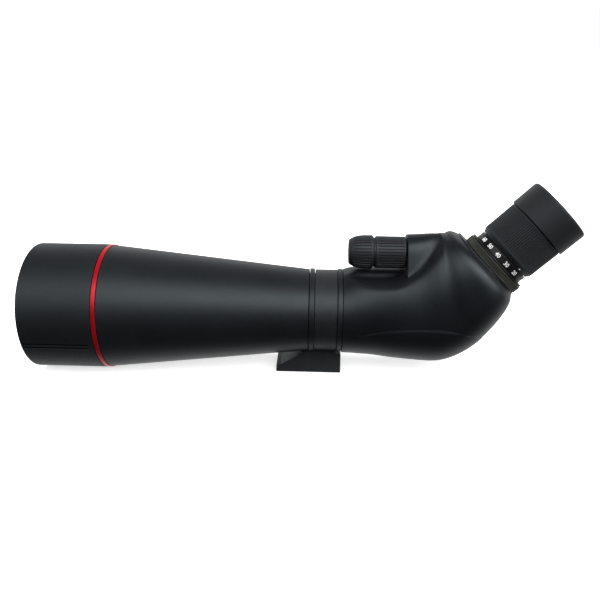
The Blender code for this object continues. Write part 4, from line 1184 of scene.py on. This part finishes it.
def studio():
    """A room that is white behind the scope and dark in front, apart from a strip lamp."""
    world = bpy.data.worlds.new("studio")
    bpy.context.scene.world = world
    world.use_nodes = True
    tree = Tree(world.node_tree)
    background = tree.tree.nodes["Background"]
    direction = tree.node("ShaderNodeTexCoord").outputs["Generated"]

    def towards(vector):
        node = tree.node("ShaderNodeVectorMath", operation="DOT_PRODUCT")
        tree.put(node.inputs[0], direction)
        node.inputs[1].default_value = vector
        return node.outputs["Value"]

    def ease(value, source, target):
        return tree.remap(value, source, target, interpolation_type="SMOOTHSTEP")

    to_camera = Vector((0.0, -math.cos(VIEW_RISE), math.sin(VIEW_RISE)))
    view_up = Vector((0.0, math.sin(VIEW_RISE), math.cos(VIEW_RISE)))
    lift = math.radians(24.0)        # the lamp stands this far above the line of sight
    lamp_direction = to_camera * math.cos(lift) + view_up * math.sin(lift)
    across_strip = view_up * math.cos(lift) - to_camera * math.sin(lift)
    lamp_strength = 3.6
    ambient = 0.014

    behind = ease(towards(to_camera), source=(-0.85, 0.05), target=(0.95, 0.0))
    off_strip = tree.math("ABSOLUTE", towards(across_strip), 0.0)
    strip = ease(off_strip, source=(0.10, 0.50), target=(1.0, 0.0))
    along = ease(towards(Vector((1.0, 0.0, 0.0))), source=(-0.75, 0.55), target=(0.35, 1.25))
    ahead = ease(towards(lamp_direction), source=(-0.05, 0.65), target=(0.0, 1.0))
    lamp = tree.math("MULTIPLY", tree.math("MULTIPLY", strip, along),
                     tree.math("MULTIPLY", ahead, lamp_strength))
    light = tree.math("ADD", tree.math("ADD", behind, lamp), ambient)
    # the camera itself sees plain white
    is_camera = tree.node("ShaderNodeLightPath").outputs["Is Camera Ray"]
    plain = tree.math("MULTIPLY", is_camera, 1.0)
    lit = tree.math("MULTIPLY", tree.math("SUBTRACT", 1.0, is_camera), light)
    tree.put(background.inputs["Strength"], tree.math("ADD", plain, lit))
    tree.put(background.inputs["Color"], (1.0, 1.0, 1.0))


def top_lamp():
    light = bpy.data.lights.new("top", "AREA")
    light.shape = "RECTANGLE"
    light.size = 1.8
    light.size_y = 1.2
    light.energy = 45.0
    lamp = bpy.data.objects.new("top", light)
    bpy.context.scene.collection.objects.link(lamp)
    lamp.location = (0.0, 0.45, 1.6)
    to_origin = -Vector((0.0, 0.45, 1.6))
    lamp.rotation_euler = to_origin.to_track_quat("-Z", "Y").to_euler()
    lamp.visible_glossy = False


AIM_X = -19.45                       # point on the optical axis the view is set from
AIM_DROP, AIM_DEPTH = 7.09, 469.4    # that point below and in front of the camera
TILT = math.radians(1.21)            # fall of the scope's +X end in the picture
SLANT = math.radians(-1.58)          # turn of the +X end away from the camera
LENS, SENSOR = 36.87, 36.0


def camera():
    # the scope's axes in the camera's frame: x right, y down, z away
    scope_x = Vector((math.cos(TILT) * math.cos(SLANT), math.sin(TILT) * math.cos(SLANT),
                      math.sin(SLANT)))
    up = Vector((0, -1, 0))
    up = (up - scope_x * up.dot(scope_x)).normalized()
    near = Vector((0, 0, -1))
    near = (near - scope_x * near.dot(scope_x) - up * near.dot(up)).normalized()
    scope_z = up * math.cos(VIEW_RISE) + near * math.sin(VIEW_RISE)
    scope_y = scope_z.cross(scope_x)
    aim = Vector((0, AIM_DROP, AIM_DEPTH))
    position = Vector((-scope_x.dot(aim) + AIM_X, -scope_y.dot(aim),
                       AXIS_Z - scope_z.dot(aim))) * MM
    right = Vector((scope_x.x, scope_y.x, scope_z.x))
    upward = -Vector((scope_x.y, scope_y.y, scope_z.y))
    back = -Vector((scope_x.z, scope_y.z, scope_z.z))
    data = bpy.data.cameras.new("camera")
    data.sensor_width = SENSOR
    data.lens = LENS
    data.clip_start = 0.01
    obj = bpy.data.objects.new("camera", data)
    bpy.context.scene.collection.objects.link(obj)
    turn = Matrix((right, upward, back)).transposed().to_4x4()
    obj.matrix_world = Matrix.Translation(position) @ turn
    bpy.context.scene.camera = obj
    bpy.context.scene.view_settings.view_transform = "Standard"


# ================================================================ build
dress_cad_nodes()
tube()
accent_band()
hood()
hood_felt()
objective()
baffle("baffle_front", x=-120.0, hole=31.0, rim=38.0)
baffle("baffle_rear", x=-60.0, hole=24.0, rim=30.9)
flange("collar_front_flange", -12.1, -8.5)
flange("collar_rear_flange", 8.5, 12.1)
collar()
thread_insert()
lock_knob()
rear_housing()
coarse_knob()
fine_knob()
lock_ring()
eyepiece_core()
scale_band()
zoom_ring()
eyecup()
eye_lens()
for label, place_angle in ZOOM_NUMBERS:
    zoom_number(label, place_angle)
index_dot()
floor()
studio()
top_lamp()
camera()
